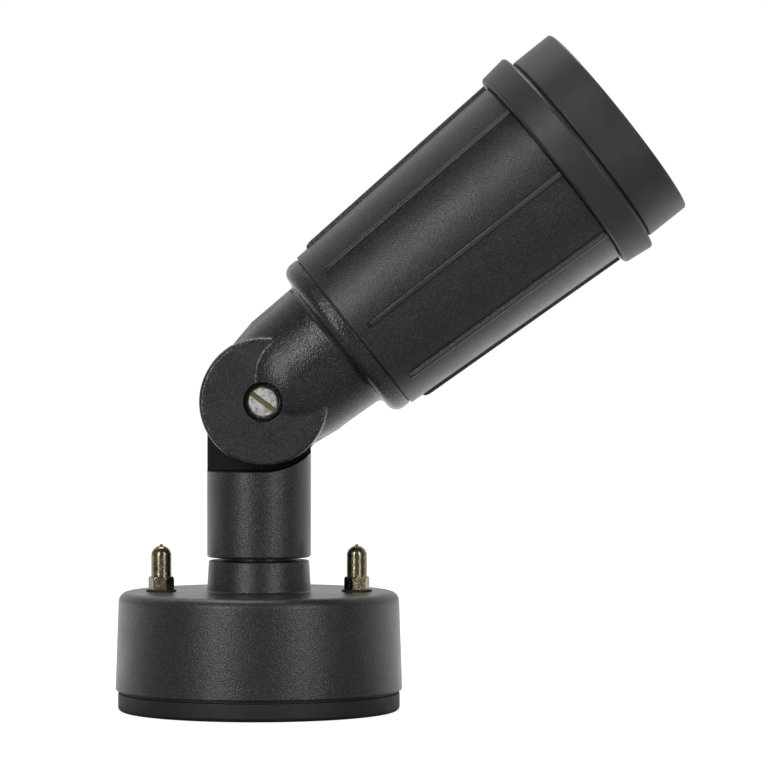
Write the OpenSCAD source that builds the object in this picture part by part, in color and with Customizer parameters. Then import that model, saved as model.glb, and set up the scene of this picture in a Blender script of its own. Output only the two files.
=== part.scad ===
// Exterior spotlight holder for a screw-in reflector lamp, on a round surface base.
// The wall face of the base lies on z = 0 and the swivel axis is the z axis.
// The head leans towards +x, and its tilt pivot runs along y.
// The knuckle is half-lapped: the stem carries the ear behind y = 0 and the arm the ear before it.

/* [Base cover] */
// Diameter of the cover at its rim
cover_d = 112.6; // [108:0.2:124]
// Amount by which the diameter narrows from rim to top
cover_draft = 2.4; // [0:0.2:5]
// Height of the cover's flat top above the wall
cover_top_z = 46.6; // [44:0.2:56]
// Wall thickness of the cover
cover_wall = 3; // [2.4:0.1:3.6]
// Radius of the rounded top edge
cover_edge_r = 3.7; // [2:0.1:5]
// Width of the land on which the rim seats
rim_land = 5; // [4:0.1:7]
// Height of that land
rim_land_h = 4; // [2:0.5:8]
// Diameter of the boss under the stem, at its foot
boss_foot_d = 40.9; // [39:0.1:44]
// Diameter of the boss at its top
boss_top_d = 39.4; // [38:0.1:42]
// Height of the boss above the flat top
boss_h = 12.3; // [9:0.1:16]
// Thickness of the boss's end wall
boss_end = 3.5; // [2.5:0.1:4.5]
// Diameter of the hollow inside the boss
boss_core_d = 33; // [32.6:0.1:35]
// Radius of the boss's top edge
boss_edge_r = 0.8; // [0.3:0.1:1.5]

/* [Base gasket] */
// Distance by which the rubber gasket stands back from the cover's rim
gasket_inset = 1; // [0.4:0.1:2]
// Height of the gasket
gasket_h = 8.2; // [6:0.2:12]
// Width of the gasket's ring
gasket_w = 7.8; // [6:0.1:9]
// Radius of its lower outer edge
gasket_edge_r = 1.7; // [0.5:0.1:3]
// Height of the narrow groove under the cover's rim
groove_h = 1.1; // [0.6:0.1:2]
// Depth of that groove in the gasket
groove_depth = 0.9; // [0.4:0.1:1.5]

/* [Wall bracket and studs] */
// Gap between the steel strap's end and the gasket
strap_gap = 2.5; // [1.5:0.1:3]
// Width of the strap
strap_w = 18; // [14:0.5:22]
// Thickness of the strap
strap_t = 2; // [1.5:0.1:3]
// Distance from a wall slot's middle to the stud beside it
slot_inset = 13; // [12:0.1:14]
// Width of a wall slot
slot_w = 5.2; // [4:0.1:6]
// Length of a wall slot, end to end
slot_l = 13; // [8:0.5:14]
// Diameter of the cable hole in the middle of the strap
cable_hole_d = 20; // [14:0.5:24]
// Width of the ring round the cable hole
cable_ring_w = 6; // [5:0.5:8]
// Distance from a stud to the strap's end
stud_inset = 6.6; // [5.5:0.1:7.5]
// Diameter of a stud
stud_d = 5; // [4:0.5:5]
// Diameter of the stud's hole in the cover
stud_hole_d = 5.6; // [5.5:0.1:6.5]
// Diameter of the pillar round a stud inside the cover
pillar_d = 11.6; // [10:0.2:13]
// Length of that pillar below the cover's top wall
pillar_l = 14; // [8:0.5:20]
// Diameter of the sealing washer under a nut
nut_washer_d = 12; // [11:0.2:13]
// Thickness of that washer
nut_washer_t = 0.7; // [0.5:0.1:1.5]
// Width of the dome nut across its flats
nut_af = 8.9; // [8:0.1:10]
// Height of the nut's hexagon
nut_hex_h = 5.1; // [4:0.1:7]
// Diameter of the nut's domed barrel
nut_dome_d = 8; // [7.2:0.1:8.4]
// Turn of the left nut's hexagon
left_nut_turn = -5; // [-30:1:30]
// Turn of the right nut's hexagon
right_nut_turn = 13; // [-30:1:30]
// Height of the whole nut
nut_h = 17.8; // [14:0.1:22]

/* [Terminal block] */
// Size of the block along x
block_w = 21; // [20:0.5:26]
// Size of the block along y
block_l = 14; // [12:0.5:16]
// Height of the block
block_h = 13; // [11:0.5:16]
// Distance from the swivel axis to the block's near face
block_y = 20; // [19:0.5:22]
// Distance between the two poles
pole_pitch = 11; // [10:0.5:13]
// Diameter of a pole's brass sleeve
sleeve_d = 5; // [4.6:0.1:5.4]
// Bore of a pole's sleeve
sleeve_bore_d = 3; // [2.9:0.1:3.4]
// Diameter of a pole's clamp screw
pole_screw_d = 2.6; // [2:0.1:3]

/* [Stem and swivel] */
// Diameter of the stem
stem_d = 40.8; // [40.4:0.1:43]
// Wall thickness of the stem
stem_wall = 3.5; // [2.8:0.1:4.5]
// Radius of the stem's lower edge
stem_edge_r = 1; // [0.4:0.1:1.8]
// Diameter of the threaded spigot
spigot_d = 19.8; // [18:0.1:22]
// Bore of the spigot
spigot_bore_d = 14; // [12:0.1:15]
// Diameter of the thrust washer in the gap under the stem
thrust_washer_d = 29; // [26:0.2:34]
// Thickness of the thrust washer, which sets that gap
thrust_washer_t = 1.2; // [0.8:0.1:2]
// Diameter of the spring washer above the locknut
spring_washer_d = 28; // [25:0.2:30]
// Thickness of the spring washer
spring_washer_t = 1.2; // [0.8:0.1:2]
// Width of the locknut across its flats
locknut_af = 27; // [25:0.1:27.5]
// Thickness of the locknut
locknut_t = 5; // [4:0.1:6]

/* [Knuckle] */
// Height of the tilt pivot above the wall
pivot_z = 121.2; // [118:0.2:140]
// Offset of the tilt pivot from the swivel axis
pivot_x = 2.2; // [0:0.1:3]
// Diameter of both ears
ear_d = 49.8; // [48.6:0.1:51]
// Distance from the lap plane to an ear's outer face
ear_depth = 21.2; // [20:0.1:22]
// Radius of an ear's outer edge
ear_edge_r = 1.6; // [0.6:0.1:2.4]
// Rim width of an ear
ear_wall = 3.5; // [2.8:0.1:4]
// Face thickness of an ear
ear_floor = 3.2; // [2.4:0.1:4]
// Diameter of the boss round the pivot screw
ear_boss_d = 21; // [20:0.1:22]
// Thickness of the seal and the friction washer in the lap
lap_t = 1.2; // [0.8:0.1:1.6]
// Amount by which the seal stands out of the lap
seal_proud = 0.7; // [0.3:0.1:0.9]
// Gap between the arm's ear and the stem's saddle
stem_saddle_gap = 2.3; // [1.2:0.1:3]
// Gap between the stem's ear and the arm's saddle
arm_saddle_gap = 1.2; // [1.2:0.1:2]
// Diameter of the pivot screw
pivot_d = 6; // [5:0.1:6.2]
// Diameter of the pivot screw's head
pivot_head_d = 12.1; // [11:0.1:13]
// Height of the pivot screw's head
pivot_head_h = 3.6; // [2.5:0.1:4]
// Width of its slot
pivot_slot_w = 1.9; // [1:0.1:2.2]
// Depth of its slot
pivot_slot_depth = 1.6; // [0.8:0.1:2]
// Angle of its slot
pivot_slot_angle = -36; // [-90:1:90]
// Diameter of the recess that the head sits in
recess_d = 15.4; // [14.6:0.1:16]
// Depth of that recess
recess_depth = 6.6; // [5.8:0.1:8]
// Thickness of the washer under the head
pivot_washer_t = 1; // [0.6:0.1:1.4]
// Width of the pivot nut across its flats
pivot_nut_af = 10; // [9:0.1:11]
// Thickness of the pivot nut
pivot_nut_t = 5; // [4:0.1:5.2]

/* [Arm] */
// Elevation of the head's axis at rest
head_elevation = 38.5; // [34:0.1:44]
// Distance from the pivot to the centre of the neck's ball
ball_a = 16.6; // [14:0.1:18]
// Radius of the neck's ball
ball_r = 26.4; // [25.6:0.1:27]
// Half angle of the neck's taper
neck_taper = 3; // [2:0.1:5]
// Wall thickness of the arm
arm_wall = 3.2; // [2.6:0.1:3.6]
// Distance from the pivot to the back of the end cap
cap_back_a = 36.8; // [36:0.1:40]
// Radius of the end cap
cap_r = 35.7; // [34.8:0.1:36.4]
// Length of the end cap
cap_l = 7.6; // [6.6:0.1:9]
// Radius of the end cap's shoulder
cap_shoulder_r = 4.6; // [2.5:0.1:5.5]
// Radius of the fillet between neck and cap
neck_fillet_r = 2.6; // [0.6:0.1:3]
// Distance from the lap plane to the outer face of the web between ear and neck
web_depth = 6.5; // [5:0.5:12]
// Rise of the web's upper edge above the neck's ball
web_rise = 1.1; // [0.4:0.1:2]
// Rise of its lower edge
web_drop = 0.2; // [0.1:0.1:1]

/* [Lamp housing] */
// Thickness of the gasket between cap and housing
joint_gasket_t = 0.5; // [0.3:0.1:1]
// Radius of the housing at its back
housing_back_r = 36.3; // [35.4:0.1:37]
// Radius of the housing at its front
housing_front_r = 42; // [40.8:0.1:42.4]
// Length of the housing's ribbed cone
housing_l = 99.6; // [95:0.1:110]
// Wall thickness of the housing
housing_wall = 2.6; // [2.2:0.1:3]
// Number of ribs
rib_count = 8; // [6:1:12]
// Width of a rib
rib_w = 2.1; // [1.4:0.1:3]
// Height of a rib at its back
rib_back_h = 1.4; // [0.6:0.1:1.6]
// Height of a rib at its front
rib_front_h = 1.5; // [1:0.1:1.9]
// Distance from the housing's back to the start of the ribs
rib_start = 5.4; // [4:0.1:12]
// Roll of the housing about its own axis
housing_roll = 3.5; // [0:0.5:10]
// Step from the housing's front edge down to the spigot that carries the boot
seat_step = 2.4; // [2.2:0.1:3]
// Length of that spigot
boot_seat_l = 8.5; // [7:0.1:9.4]
// Radius of the opening in the housing's back wall
back_opening_r = 23; // [20:0.5:24]
// Thickness of the housing's back wall
back_wall = 3.2; // [2.6:0.1:4]
// Radius on which the housing screws lie
housing_screw_ring_r = 28.2; // [28:0.1:28.6]
// Diameter of a housing screw
housing_screw_d = 4; // [3:0.1:4]

/* [Rubber boot] */
// Thickness of the collar over the spigot at its back
collar_back_t = 6; // [5:0.1:6.6]
// Thickness of the collar at its front
collar_front_t = 7.5; // [5.5:0.1:8.4]
// Length of the collar
collar_l = 12.4; // [11:0.1:14]
// Radius of the collar's edges
collar_edge_r = 1.2; // [0.8:0.1:2]
// Height of the sleeve's surface above that of the spigot
sleeve_rise = 3.5; // [2.6:0.1:4]
// Length of the sleeve
sleeve_l = 19.7; // [16:0.1:26]
// Wall thickness of the sleeve
sleeve_wall = 3.4; // [2.6:0.1:4]
// Distance by which the lip that grips the lamp reaches in past the spigot
lip_reach = 2.6; // [1.6:0.1:4]
// Gap between the housing's ribbed end and the boot
boot_gap = 0.5; // [0.3:0.1:1]

/* [Lampholder] */
// Distance from the housing's back wall to the mounting plate
post_l = 20; // [17:0.5:26]
// Diameter of the two posts that carry the plate
post_d = 7.6; // [7:0.1:8.4]
// Distance from the axis to a post
post_r = 26.4; // [26:0.1:27]
// Thickness of the mounting plate
plate_t = 1.6; // [1:0.1:2.4]
// Width of the mounting plate
plate_w = 26; // [24:0.5:32]
// Diameter of the lampholder's base
holder_base_d = 42; // [40:0.5:44]
// Thickness of the lampholder's base
holder_base_t = 15; // [13:0.5:18]
// Diameter of the lampholder's skirt
holder_skirt_d = 36.4; // [34.6:0.2:40]
// Length of the skirt
holder_skirt_l = 28; // [26:0.5:32]
// Depth of the well round the centre contact
contact_well = 6.5; // [6:0.1:7.5]
// Inner radius of the brass screw shell
shell_r = 13.3; // [13:0.1:13.6]
// Thickness of the shell
shell_t = 0.6; // [0.4:0.1:0.8]
// Radius of that well
well_r = 11.5; // [11:0.1:12]
// Distance from the axis to a lampholder screw
holder_screw_x = 8.4; // [8:0.1:8.8]
// Diameter of a lampholder screw
holder_screw_d = 3.6; // [3:0.1:4]
// Distance from the axis to a wire hole
wire_hole_y = 9; // [7:0.5:11]

/* [Leads] */
// Outer diameter of one insulated conductor
lead_d = 2.4; // [1.8:0.1:2.6]

/* [Hidden] */

$fn = 96;
// Overrun of every cut past the face that it opens
over = 0.5;
// Number of straight steps in a rounded edge, and in the neck's ball
arc_steps = 6;
ball_steps = 30;

// Clearances
fit_clear = 0.08;
thread_clear = 0.05;
loose_clear = 0.3;
hex_clear = 0.15;
seat_gap = 0.6;

// Base
cover_r = cover_d / 2;
gasket_r = cover_r - gasket_inset;
gasket_bore_r = gasket_r - gasket_w;
cover_top_r = (cover_d - cover_draft) / 2;
boss_top_z = cover_top_z + boss_h;
boss_core_top_z = boss_top_z - boss_end;
pillar_bottom_z = cover_top_z - cover_wall - pillar_l;
tab_w = block_w + cable_ring_w / 2;
cable_ring_r = cable_hole_d / 2 + cable_ring_w;
strap_end_x = gasket_bore_r - strap_gap;
stud_x = strap_end_x - stud_inset;
slot_x = stud_x - slot_inset;
nut_z = cover_top_z + nut_washer_t;
stud_top_z = nut_z + nut_h - nut_dome_d / 2;
stud_head_t = strap_t;
stud_head_d = stud_d + strap_t;
tip_r = nut_dome_d / 8;
block_screw_d = pole_screw_d;
block_screw_head_d = 2 * block_screw_d;
sleeve_z = strap_t + block_h * 0.42;
screw_slot_share = 0.2;

// Stem
stem_r = stem_d / 2;
stem_bottom_z = boss_top_z + thrust_washer_t;
stem_floor = stem_wall;
locknut_top_z = boss_core_top_z - spring_washer_t;
locknut_z = locknut_top_z - locknut_t;
spigot_end_z = locknut_z - thrust_washer_t;

// Knuckle
lap_h = lap_t / 2;
ear_r = ear_d / 2;
ear_chamber_r = ear_r - ear_wall;
ear_boss_r = ear_boss_d / 2;
stem_saddle_r = ear_r + stem_saddle_gap;
arm_saddle_r = ear_r + arm_saddle_gap;
shoulder_drop = 0.65 * stem_saddle_r;
pivot_r = pivot_d / 2;
pocket_depth = pivot_nut_t + seat_gap;
recess_floor = ear_depth - recess_depth;
pivot_head_z = recess_floor + pivot_washer_t;
passage_w = 2 * ear_boss_r;
web_root = 0.5;
// Distance by which the saddle's flat stops short of its round, so that the two cross
saddle_step = 0.3;

// Arm and housing, by distance along the head's axis
neck_slope = tan(neck_taper);
cap_front_a = cap_back_a + cap_l;
cap_floor_a = cap_back_a + arm_wall;
cap_wall = arm_wall;
housing_a = cap_front_a + joint_gasket_t;
housing_front_a = housing_a + housing_l;
housing_slope = (housing_front_r - housing_back_r) / housing_l;
housing_edge_r = boot_gap;
boot_seat_r = housing_front_r - seat_step;
seat_end_a = housing_front_a + boot_seat_l;
seat_bead_h = loose_clear * 2;
seat_bead_w = boot_seat_l / 4;
screw_boss_r = housing_screw_d;
housing_screw_depth = cap_l - arm_wall + arm_wall / 2;
housing_screw_head_d = 1.8 * housing_screw_d;
housing_screw_head_h = 0.6 * housing_screw_d;
screw_angles = [0, 120, 240];

// Boot
collar_back_r = boot_seat_r + collar_back_t;
collar_front_r = boot_seat_r + collar_front_t;
sleeve_r = boot_seat_r + sleeve_rise;
lip_r = boot_seat_r - lip_reach;
boot_a = housing_front_a + boot_gap;
collar_front_a = boot_a + collar_l;
waist_l = collar_edge_r;
waist_r = sleeve_r - collar_edge_r;
mouth_a = collar_front_a + sleeve_l;
mouth_edge_r = sleeve_wall / 4;
seat_clear_r = boot_seat_r + thread_clear;

// Lampholder
plate_a = housing_a + back_wall + post_l;
plate_screw_d = 0.4 * post_d;
plate_screw_l = 2 * post_d;
plate_end_r = post_d / 2 + plate_t;
holder_a = plate_a + plate_t;
holder_floor_a = holder_a + holder_base_t;
holder_front_a = holder_floor_a + holder_skirt_l;
shell_outer_r = shell_r + shell_t;
holder_bore_r = shell_outer_r + loose_clear;
shell_a = holder_floor_a + contact_well;
shell_l = holder_front_a - shell_a - 2 * shell_t;
holder_screw_head_h = 0.6 * holder_screw_d;
wire_hole_r = lead_d / 2 + loose_clear;
contact_r = shell_r / 3.8;

// Points of a round stretch of outline about a centre, from one angle to another
function arc(cx, cy, r, from, to, steps = arc_steps) =
    [for (i = [0 : steps]) let (t = from + (to - from) * i / steps)
        [cx + r * cos(t), cy + r * sin(t)]];

// Radius at a distance along the head's axis of the cone that touches a ball at the neck's end
function neck_r(a, ball = ball_r) = ball / cos(neck_taper) + (a - ball_a) * neck_slope;

// Outer radius of the housing's cone at a distance along the head's axis
function housing_r(a) = housing_back_r + (a - housing_a) * housing_slope;

// A place in the head's frame, down, back and along its axis, in the part's frame
function head_point(p) = [
    pivot_x + p[2] * cos(head_elevation) + p[0] * sin(head_elevation),
    p[1],
    pivot_z + p[2] * sin(head_elevation) - p[0] * cos(head_elevation)
];

// Puts children along the head's axis: their z is the axis and their +x its lower side
module along_head() {
    translate([pivot_x, 0, pivot_z])
        rotate([0, 90 - head_elevation, 0])
            children();
}

// Puts children on the tilt pivot: their z points from the lap plane to the front ear
module about_pivot() {
    translate([pivot_x, 0, pivot_z])
        rotate([90, 0, 0])
            children();
}

// A flat ring
module ring(outer_r, inner_r, h) {
    difference() {
        cylinder(r = outer_r, h = h);
        translate([0, 0, -over])
            cylinder(r = inner_r, h = h + 2 * over);
    }
}

// A hexagonal prism across flats
module hexagon(af, h) {
    cylinder(r = af / 2 / cos(30), h = h, $fn = 6);
}

// A slot or strap outline between two round ends
module stadium(l, w) {
    square([l - w, w], center = true);
    for (side = [-1, 1])
        translate([side * (l - w) / 2, 0])
            circle(d = w);
}

// A pan-head screw that points down its own z, with its head's seat at zero
module pan_screw(d, l, head_d, head_h) {
    slot_w = head_d * screw_slot_share;
    translate([0, 0, -l])
        cylinder(d = d, h = l + head_h / 2);
    difference() {
        cylinder(d1 = head_d, d2 = head_d - head_h / 2, h = head_h);
        translate([-head_d, -slot_w / 2, head_h / 2])
            cube([2 * head_d, slot_w, head_h]);
    }
}

module base_gasket() {
    neck = gasket_r - groove_depth;
    color("#1b1c1e")
        rotate_extrude()
            polygon(concat(
                [[gasket_bore_r, 0]],
                arc(gasket_r - gasket_edge_r, gasket_edge_r, gasket_edge_r, -90, 0),
                arc(gasket_r - groove_depth / 2, gasket_h - groove_h - groove_depth / 2,
                    groove_depth / 2, 0, 90),
                [[neck, gasket_h - groove_h], [neck, gasket_h], [gasket_bore_r, gasket_h]]
            ));
}

module base_cover() {
    land_z = gasket_h + rim_land_h;
    inner_top_r = cover_top_r - cover_wall;
    inner_rim_r = cover_r - cover_wall;
    ceiling_z = cover_top_z - cover_wall;
    color("#232426")
        difference() {
            union() {
                difference() {
                    rotate_extrude()
                        polygon(concat(
                            [[0, gasket_h], [cover_r, gasket_h]],
                            arc(cover_top_r - cover_edge_r, cover_top_z - cover_edge_r,
                                cover_edge_r, 0, 90),
                            [[boss_foot_d / 2, cover_top_z]],
                            arc(boss_top_d / 2 - boss_edge_r, boss_top_z - boss_edge_r,
                                boss_edge_r, 0, 90),
                            [[0, boss_top_z]]
                        ));
                    rotate_extrude()
                        polygon([
                            [0, gasket_h - over], [cover_r - rim_land, gasket_h - over],
                            [cover_r - rim_land, land_z - cover_wall / 2],
                            [inner_rim_r, land_z], [inner_top_r, ceiling_z],
                            [boss_core_d / 2, ceiling_z], [boss_core_d / 2, boss_core_top_z],
                            [0, boss_core_top_z]
                        ]);
                }
                for (side = [-1, 1])
                    translate([side * stud_x, 0, pillar_bottom_z])
                        cylinder(d = pillar_d, h = pillar_l + cover_wall / 2);
            }
            translate([0, 0, boss_core_top_z - over])
                cylinder(r = spigot_d / 2 + fit_clear, h = boss_end + 2 * over);
            for (side = [-1, 1])
                translate([side * stud_x, 0, pillar_bottom_z - over])
                    cylinder(d = stud_hole_d, h = cover_top_z - pillar_bottom_z + 2 * over);
        }
}

module mounting_bracket() {
    color("#b9bcc0")
        difference() {
            linear_extrude(strap_t) {
                difference() {
                    union() {
                        stadium(2 * strap_end_x, strap_w);
                        circle(r = cable_ring_r);
                        translate([-tab_w / 2, 0])
                            square([tab_w, block_y + block_l]);
                    }
                    circle(d = cable_hole_d);
                    for (side = [-1, 1])
                        translate([side * slot_x, 0])
                            stadium(slot_l, slot_w);
                }
            }
            for (side = [-1, 1])
                translate([side * stud_x, 0, -over])
                    cylinder(r = stud_d / 2 + thread_clear, h = strap_t + 2 * over);
            translate([0, block_y + block_l / 2, -over])
                cylinder(r = block_screw_d / 2 + thread_clear, h = strap_t + 2 * over);
        }
}

module fixing_studs() {
    color("#b9a86a")
        for (side = [-1, 1])
            translate([side * stud_x, 0, 0]) {
                cylinder(d = stud_d, h = stud_top_z);
                translate([0, 0, strap_t])
                    hexagon(nut_af, stud_head_t);
            }
}

module nut_washers() {
    color("#26272a")
        for (side = [-1, 1])
            translate([side * stud_x, 0, cover_top_z])
                ring(nut_washer_d / 2, stud_hole_d / 2, nut_washer_t);
}

module dome_nuts() {
    dome_r = nut_dome_d / 2;
    color("#8f8352")
        for (side = [-1, 1])
            translate([side * stud_x, 0, nut_z])
                difference() {
                    union() {
                        intersection() {
                            rotate([0, 0, side > 0 ? right_nut_turn : left_nut_turn])
                                hexagon(nut_af, nut_hex_h);
                            cylinder(r1 = nut_af / 2 + nut_hex_h / 2, r2 = nut_af / 2 + tip_r / 4,
                                     h = nut_hex_h);
                        }
                        cylinder(d = nut_dome_d, h = nut_h - dome_r - tip_r / 2);
                        translate([0, 0, nut_h - dome_r - tip_r / 2])
                            sphere(r = dome_r);
                        translate([0, 0, nut_h - dome_r])
                            cylinder(r1 = dome_r / 2, r2 = tip_r / 2, h = dome_r);
                    }
                    translate([0, 0, -over])
                        cylinder(r = stud_d / 2 + thread_clear,
                                 h = stud_top_z - nut_z + loose_clear + over);
                }
}

module terminal_block() {
    middle_y = block_y + block_l / 2;
    waist = pole_pitch / 8;
    color("#e4e2da")
        difference() {
            translate([-block_w / 2, block_y, strap_t])
                cube([block_w, block_l, block_h]);
            for (side = [-1, 1]) {
                translate([side * pole_pitch / 2, block_y - over, sleeve_z])
                    rotate([-90, 0, 0])
                        cylinder(r = sleeve_d / 2 + thread_clear, h = block_l + 2 * over);
                translate([side * pole_pitch / 2, middle_y, sleeve_z])
                    cylinder(d = sleeve_d, h = block_h);
            }
            translate([0, middle_y, 0])
                cylinder(r = block_screw_d / 2 + thread_clear, h = block_h + strap_t + over);
            translate([0, middle_y, strap_t + block_h / 2])
                cylinder(r = block_screw_head_d / 2 + loose_clear, h = block_h);
            for (y = [block_y, block_y + block_l])
                translate([0, y, strap_t - over])
                    cylinder(r = waist, h = block_h + 2 * over);
        }
}

module terminal_sleeves() {
    middle_y = block_y + block_l / 2;
    inset = loose_clear * 2;
    color("#c9a24a")
        for (side = [-1, 1])
            difference() {
                translate([side * pole_pitch / 2, block_y + inset, sleeve_z])
                    rotate([-90, 0, 0])
                        ring(sleeve_d / 2, sleeve_bore_d / 2, block_l - 2 * inset);
                translate([side * pole_pitch / 2, middle_y, sleeve_z])
                    cylinder(r = pole_screw_d / 2 + thread_clear, h = sleeve_d);
            }
}

module terminal_screws() {
    middle_y = block_y + block_l / 2;
    screw_top = block_h * 0.42;
    color("#b9bcc0") {
        for (side = [-1, 1])
            translate([side * pole_pitch / 2, middle_y, sleeve_z + sleeve_bore_d / 2])
                difference() {
                    cylinder(d = pole_screw_d, h = screw_top);
                    translate([-sleeve_d, -pole_screw_d * screw_slot_share / 2, screw_top * 0.85])
                        cube([2 * sleeve_d, pole_screw_d * screw_slot_share, screw_top]);
                }
        translate([0, middle_y, strap_t + block_h / 2])
            pan_screw(block_screw_d, block_h / 2 + strap_t, block_screw_head_d, block_screw_d * 0.6);
    }
}

module thrust_washer() {
    color("#3a3b3d")
        translate([0, 0, boss_top_z])
            ring(thrust_washer_d / 2, spigot_d / 2 + loose_clear, thrust_washer_t);
}

// One ear of the knuckle, from the lap plane outwards along z
module ear() {
    rotate_extrude()
        polygon(concat(
            [[0, lap_h], [ear_r, lap_h]],
            arc(ear_r - ear_edge_r, ear_depth - ear_edge_r, ear_edge_r, 0, 90),
            [[0, ear_depth]]
        ));
}

// The wiring space in an ear, open at the lap plane
module ear_chamber() {
    translate([0, 0, lap_h - over])
        ring(ear_chamber_r, ear_boss_r, ear_depth - ear_floor - lap_h + over);
}

module swivel_stem() {
    bore_r = stem_r - stem_wall;
    ceiling_z = pivot_z - stem_saddle_r - stem_wall;
    rim_y = lap_h + ear_wall;
    inner_y = ear_depth - ear_floor;
    color("#232426")
        difference() {
            union() {
                rotate_extrude()
                    polygon(concat(
                        [[0, spigot_end_z], [spigot_d / 2 - thrust_washer_t / 2, spigot_end_z],
                         [spigot_d / 2, spigot_end_z + thrust_washer_t / 2],
                         [spigot_d / 2, stem_bottom_z]],
                        arc(stem_r - stem_edge_r, stem_bottom_z + stem_edge_r, stem_edge_r, -90, 0),
                        [[stem_r, pivot_z], [0, pivot_z]]
                    ));
                about_pivot()
                    mirror([0, 0, 1])
                        ear();
            }
            about_pivot()
                translate([0, 0, -lap_h])
                    cylinder(r = stem_saddle_r, h = stem_d);
            translate([-stem_d, lap_h - stem_d, pivot_z - stem_saddle_r])
                cube([stem_d + pivot_x, stem_d, stem_d]);
            translate([-stem_d, lap_h - stem_d, pivot_z - shoulder_drop])
                cube([2 * stem_d, stem_d, stem_d]);
            translate([0, 0, stem_bottom_z + stem_floor])
                cylinder(r = bore_r, h = ceiling_z - stem_bottom_z - stem_floor);
            intersection() {
                translate([0, 0, ceiling_z - over])
                    cylinder(r = bore_r, h = stem_saddle_r);
                translate([pivot_x - passage_w / 2, rim_y, ceiling_z - over])
                    cube([passage_w, inner_y - rim_y, stem_saddle_r + stem_wall - ear_boss_r]);
            }
            about_pivot()
                mirror([0, 0, 1])
                    ear_chamber();
            translate([0, 0, spigot_end_z - over])
                cylinder(d = spigot_bore_d, h = stem_bottom_z + stem_floor - spigot_end_z + 2 * over);
            about_pivot()
                mirror([0, 0, 1]) {
                    cylinder(r = pivot_r + thread_clear, h = ear_depth + over);
                    translate([0, 0, ear_depth - pocket_depth])
                        hexagon(pivot_nut_af + 2 * hex_clear, pocket_depth + over);
                }
        }
}

module spring_washer() {
    color("#b9bcc0")
        translate([0, 0, locknut_top_z])
            ring(spring_washer_d / 2, spigot_d / 2 + loose_clear, spring_washer_t);
}

module locknut() {
    color("#b9bcc0")
        translate([0, 0, locknut_z])
            difference() {
                hexagon(locknut_af, locknut_t);
                translate([0, 0, -over])
                    cylinder(r = spigot_d / 2 + thread_clear, h = locknut_t + 2 * over);
            }
}

module knuckle_seal() {
    color("#1b1c1e")
        about_pivot()
            translate([0, 0, -lap_h])
                ring(ear_r + seal_proud, ear_chamber_r, lap_t);
}

module friction_washer() {
    color("#55575a")
        about_pivot()
            translate([0, 0, -lap_h])
                ring(ear_boss_r, pivot_r + loose_clear, lap_t);
}

module pivot_screw() {
    length = ear_depth + pivot_head_z - seat_gap;
    crown = pivot_head_h / 4;
    color("#c3c1b8")
        about_pivot() {
            translate([0, 0, pivot_head_z - length])
                cylinder(r = pivot_r, h = length);
            translate([0, 0, pivot_head_z])
                difference() {
                    rotate_extrude()
                        polygon(concat(
                            [[0, 0], [pivot_head_d / 2, 0]],
                            arc(pivot_head_d / 2 - crown, pivot_head_h - crown, crown, 0, 90),
                            [[0, pivot_head_h]]
                        ));
                    rotate([0, 0, pivot_slot_angle])
                        translate([-pivot_head_d, -pivot_slot_w / 2, pivot_head_h - pivot_slot_depth])
                            cube([2 * pivot_head_d, pivot_slot_w, pivot_head_h]);
                }
        }
}

module pivot_washer() {
    color("#9b9a92")
        about_pivot()
            translate([0, 0, recess_floor])
                ring(pivot_head_d / 2 + loose_clear, pivot_r + loose_clear, pivot_washer_t);
}

module pivot_nut() {
    color("#c3c1b8")
        about_pivot()
            translate([0, 0, pocket_depth - pivot_nut_t - ear_depth])
                difference() {
                    hexagon(pivot_nut_af, pivot_nut_t);
                    translate([0, 0, -over])
                        cylinder(r = pivot_r + thread_clear, h = pivot_nut_t + 2 * over);
                }
}

// The web whose straight edges run from the ear's rim to the neck's outline
module arm_web() {
    root = ear_r - web_root;
    about_pivot()
        rotate([0, 0, head_elevation])
            translate([0, 0, lap_h])
                linear_extrude(web_depth - lap_h)
                    polygon([
                        [0, root], [0, -root],
                        [ball_a - web_rise, -ball_r - web_drop],
                        [cap_back_a - neck_fillet_r, -ball_r - web_drop],
                        [cap_back_a + neck_fillet_r, 0],
                        [cap_back_a + neck_fillet_r, ball_r + web_rise],
                        [ball_a - web_rise, ball_r + web_rise]
                    ]);
}

// The side of the arm that the stem's ear turns in: a round saddle below and a flat above
module arm_relief(grow) {
    about_pivot()
        translate([0, 0, -2 * ball_r])
            cylinder(r = arm_saddle_r + grow, h = 2 * ball_r + lap_h + grow);
    along_head()
        translate([-2 * ball_r, -lap_h - grow, -2 * ball_r])
            cube([2 * ball_r + grow / 4, 2 * ball_r + lap_h,
                  2 * ball_r + arm_saddle_r + grow - saddle_step]);
}

// The hollow of the neck and the end cap
module arm_hollow() {
    inner_ball_r = ball_r - arm_wall;
    difference() {
        along_head()
            rotate_extrude()
                polygon(concat(
                    arc(0, ball_a, inner_ball_r, -90, -neck_taper, ball_steps),
                    [[neck_r(cap_floor_a, inner_ball_r), cap_floor_a],
                     [cap_r - cap_wall, cap_floor_a], [cap_r - cap_wall, cap_front_a + over],
                     [0, cap_front_a + over]]
                ));
        arm_relief(ear_wall);
        about_pivot()
            cylinder(r = ear_boss_r, h = 2 * ear_depth);
    }
}

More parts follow.
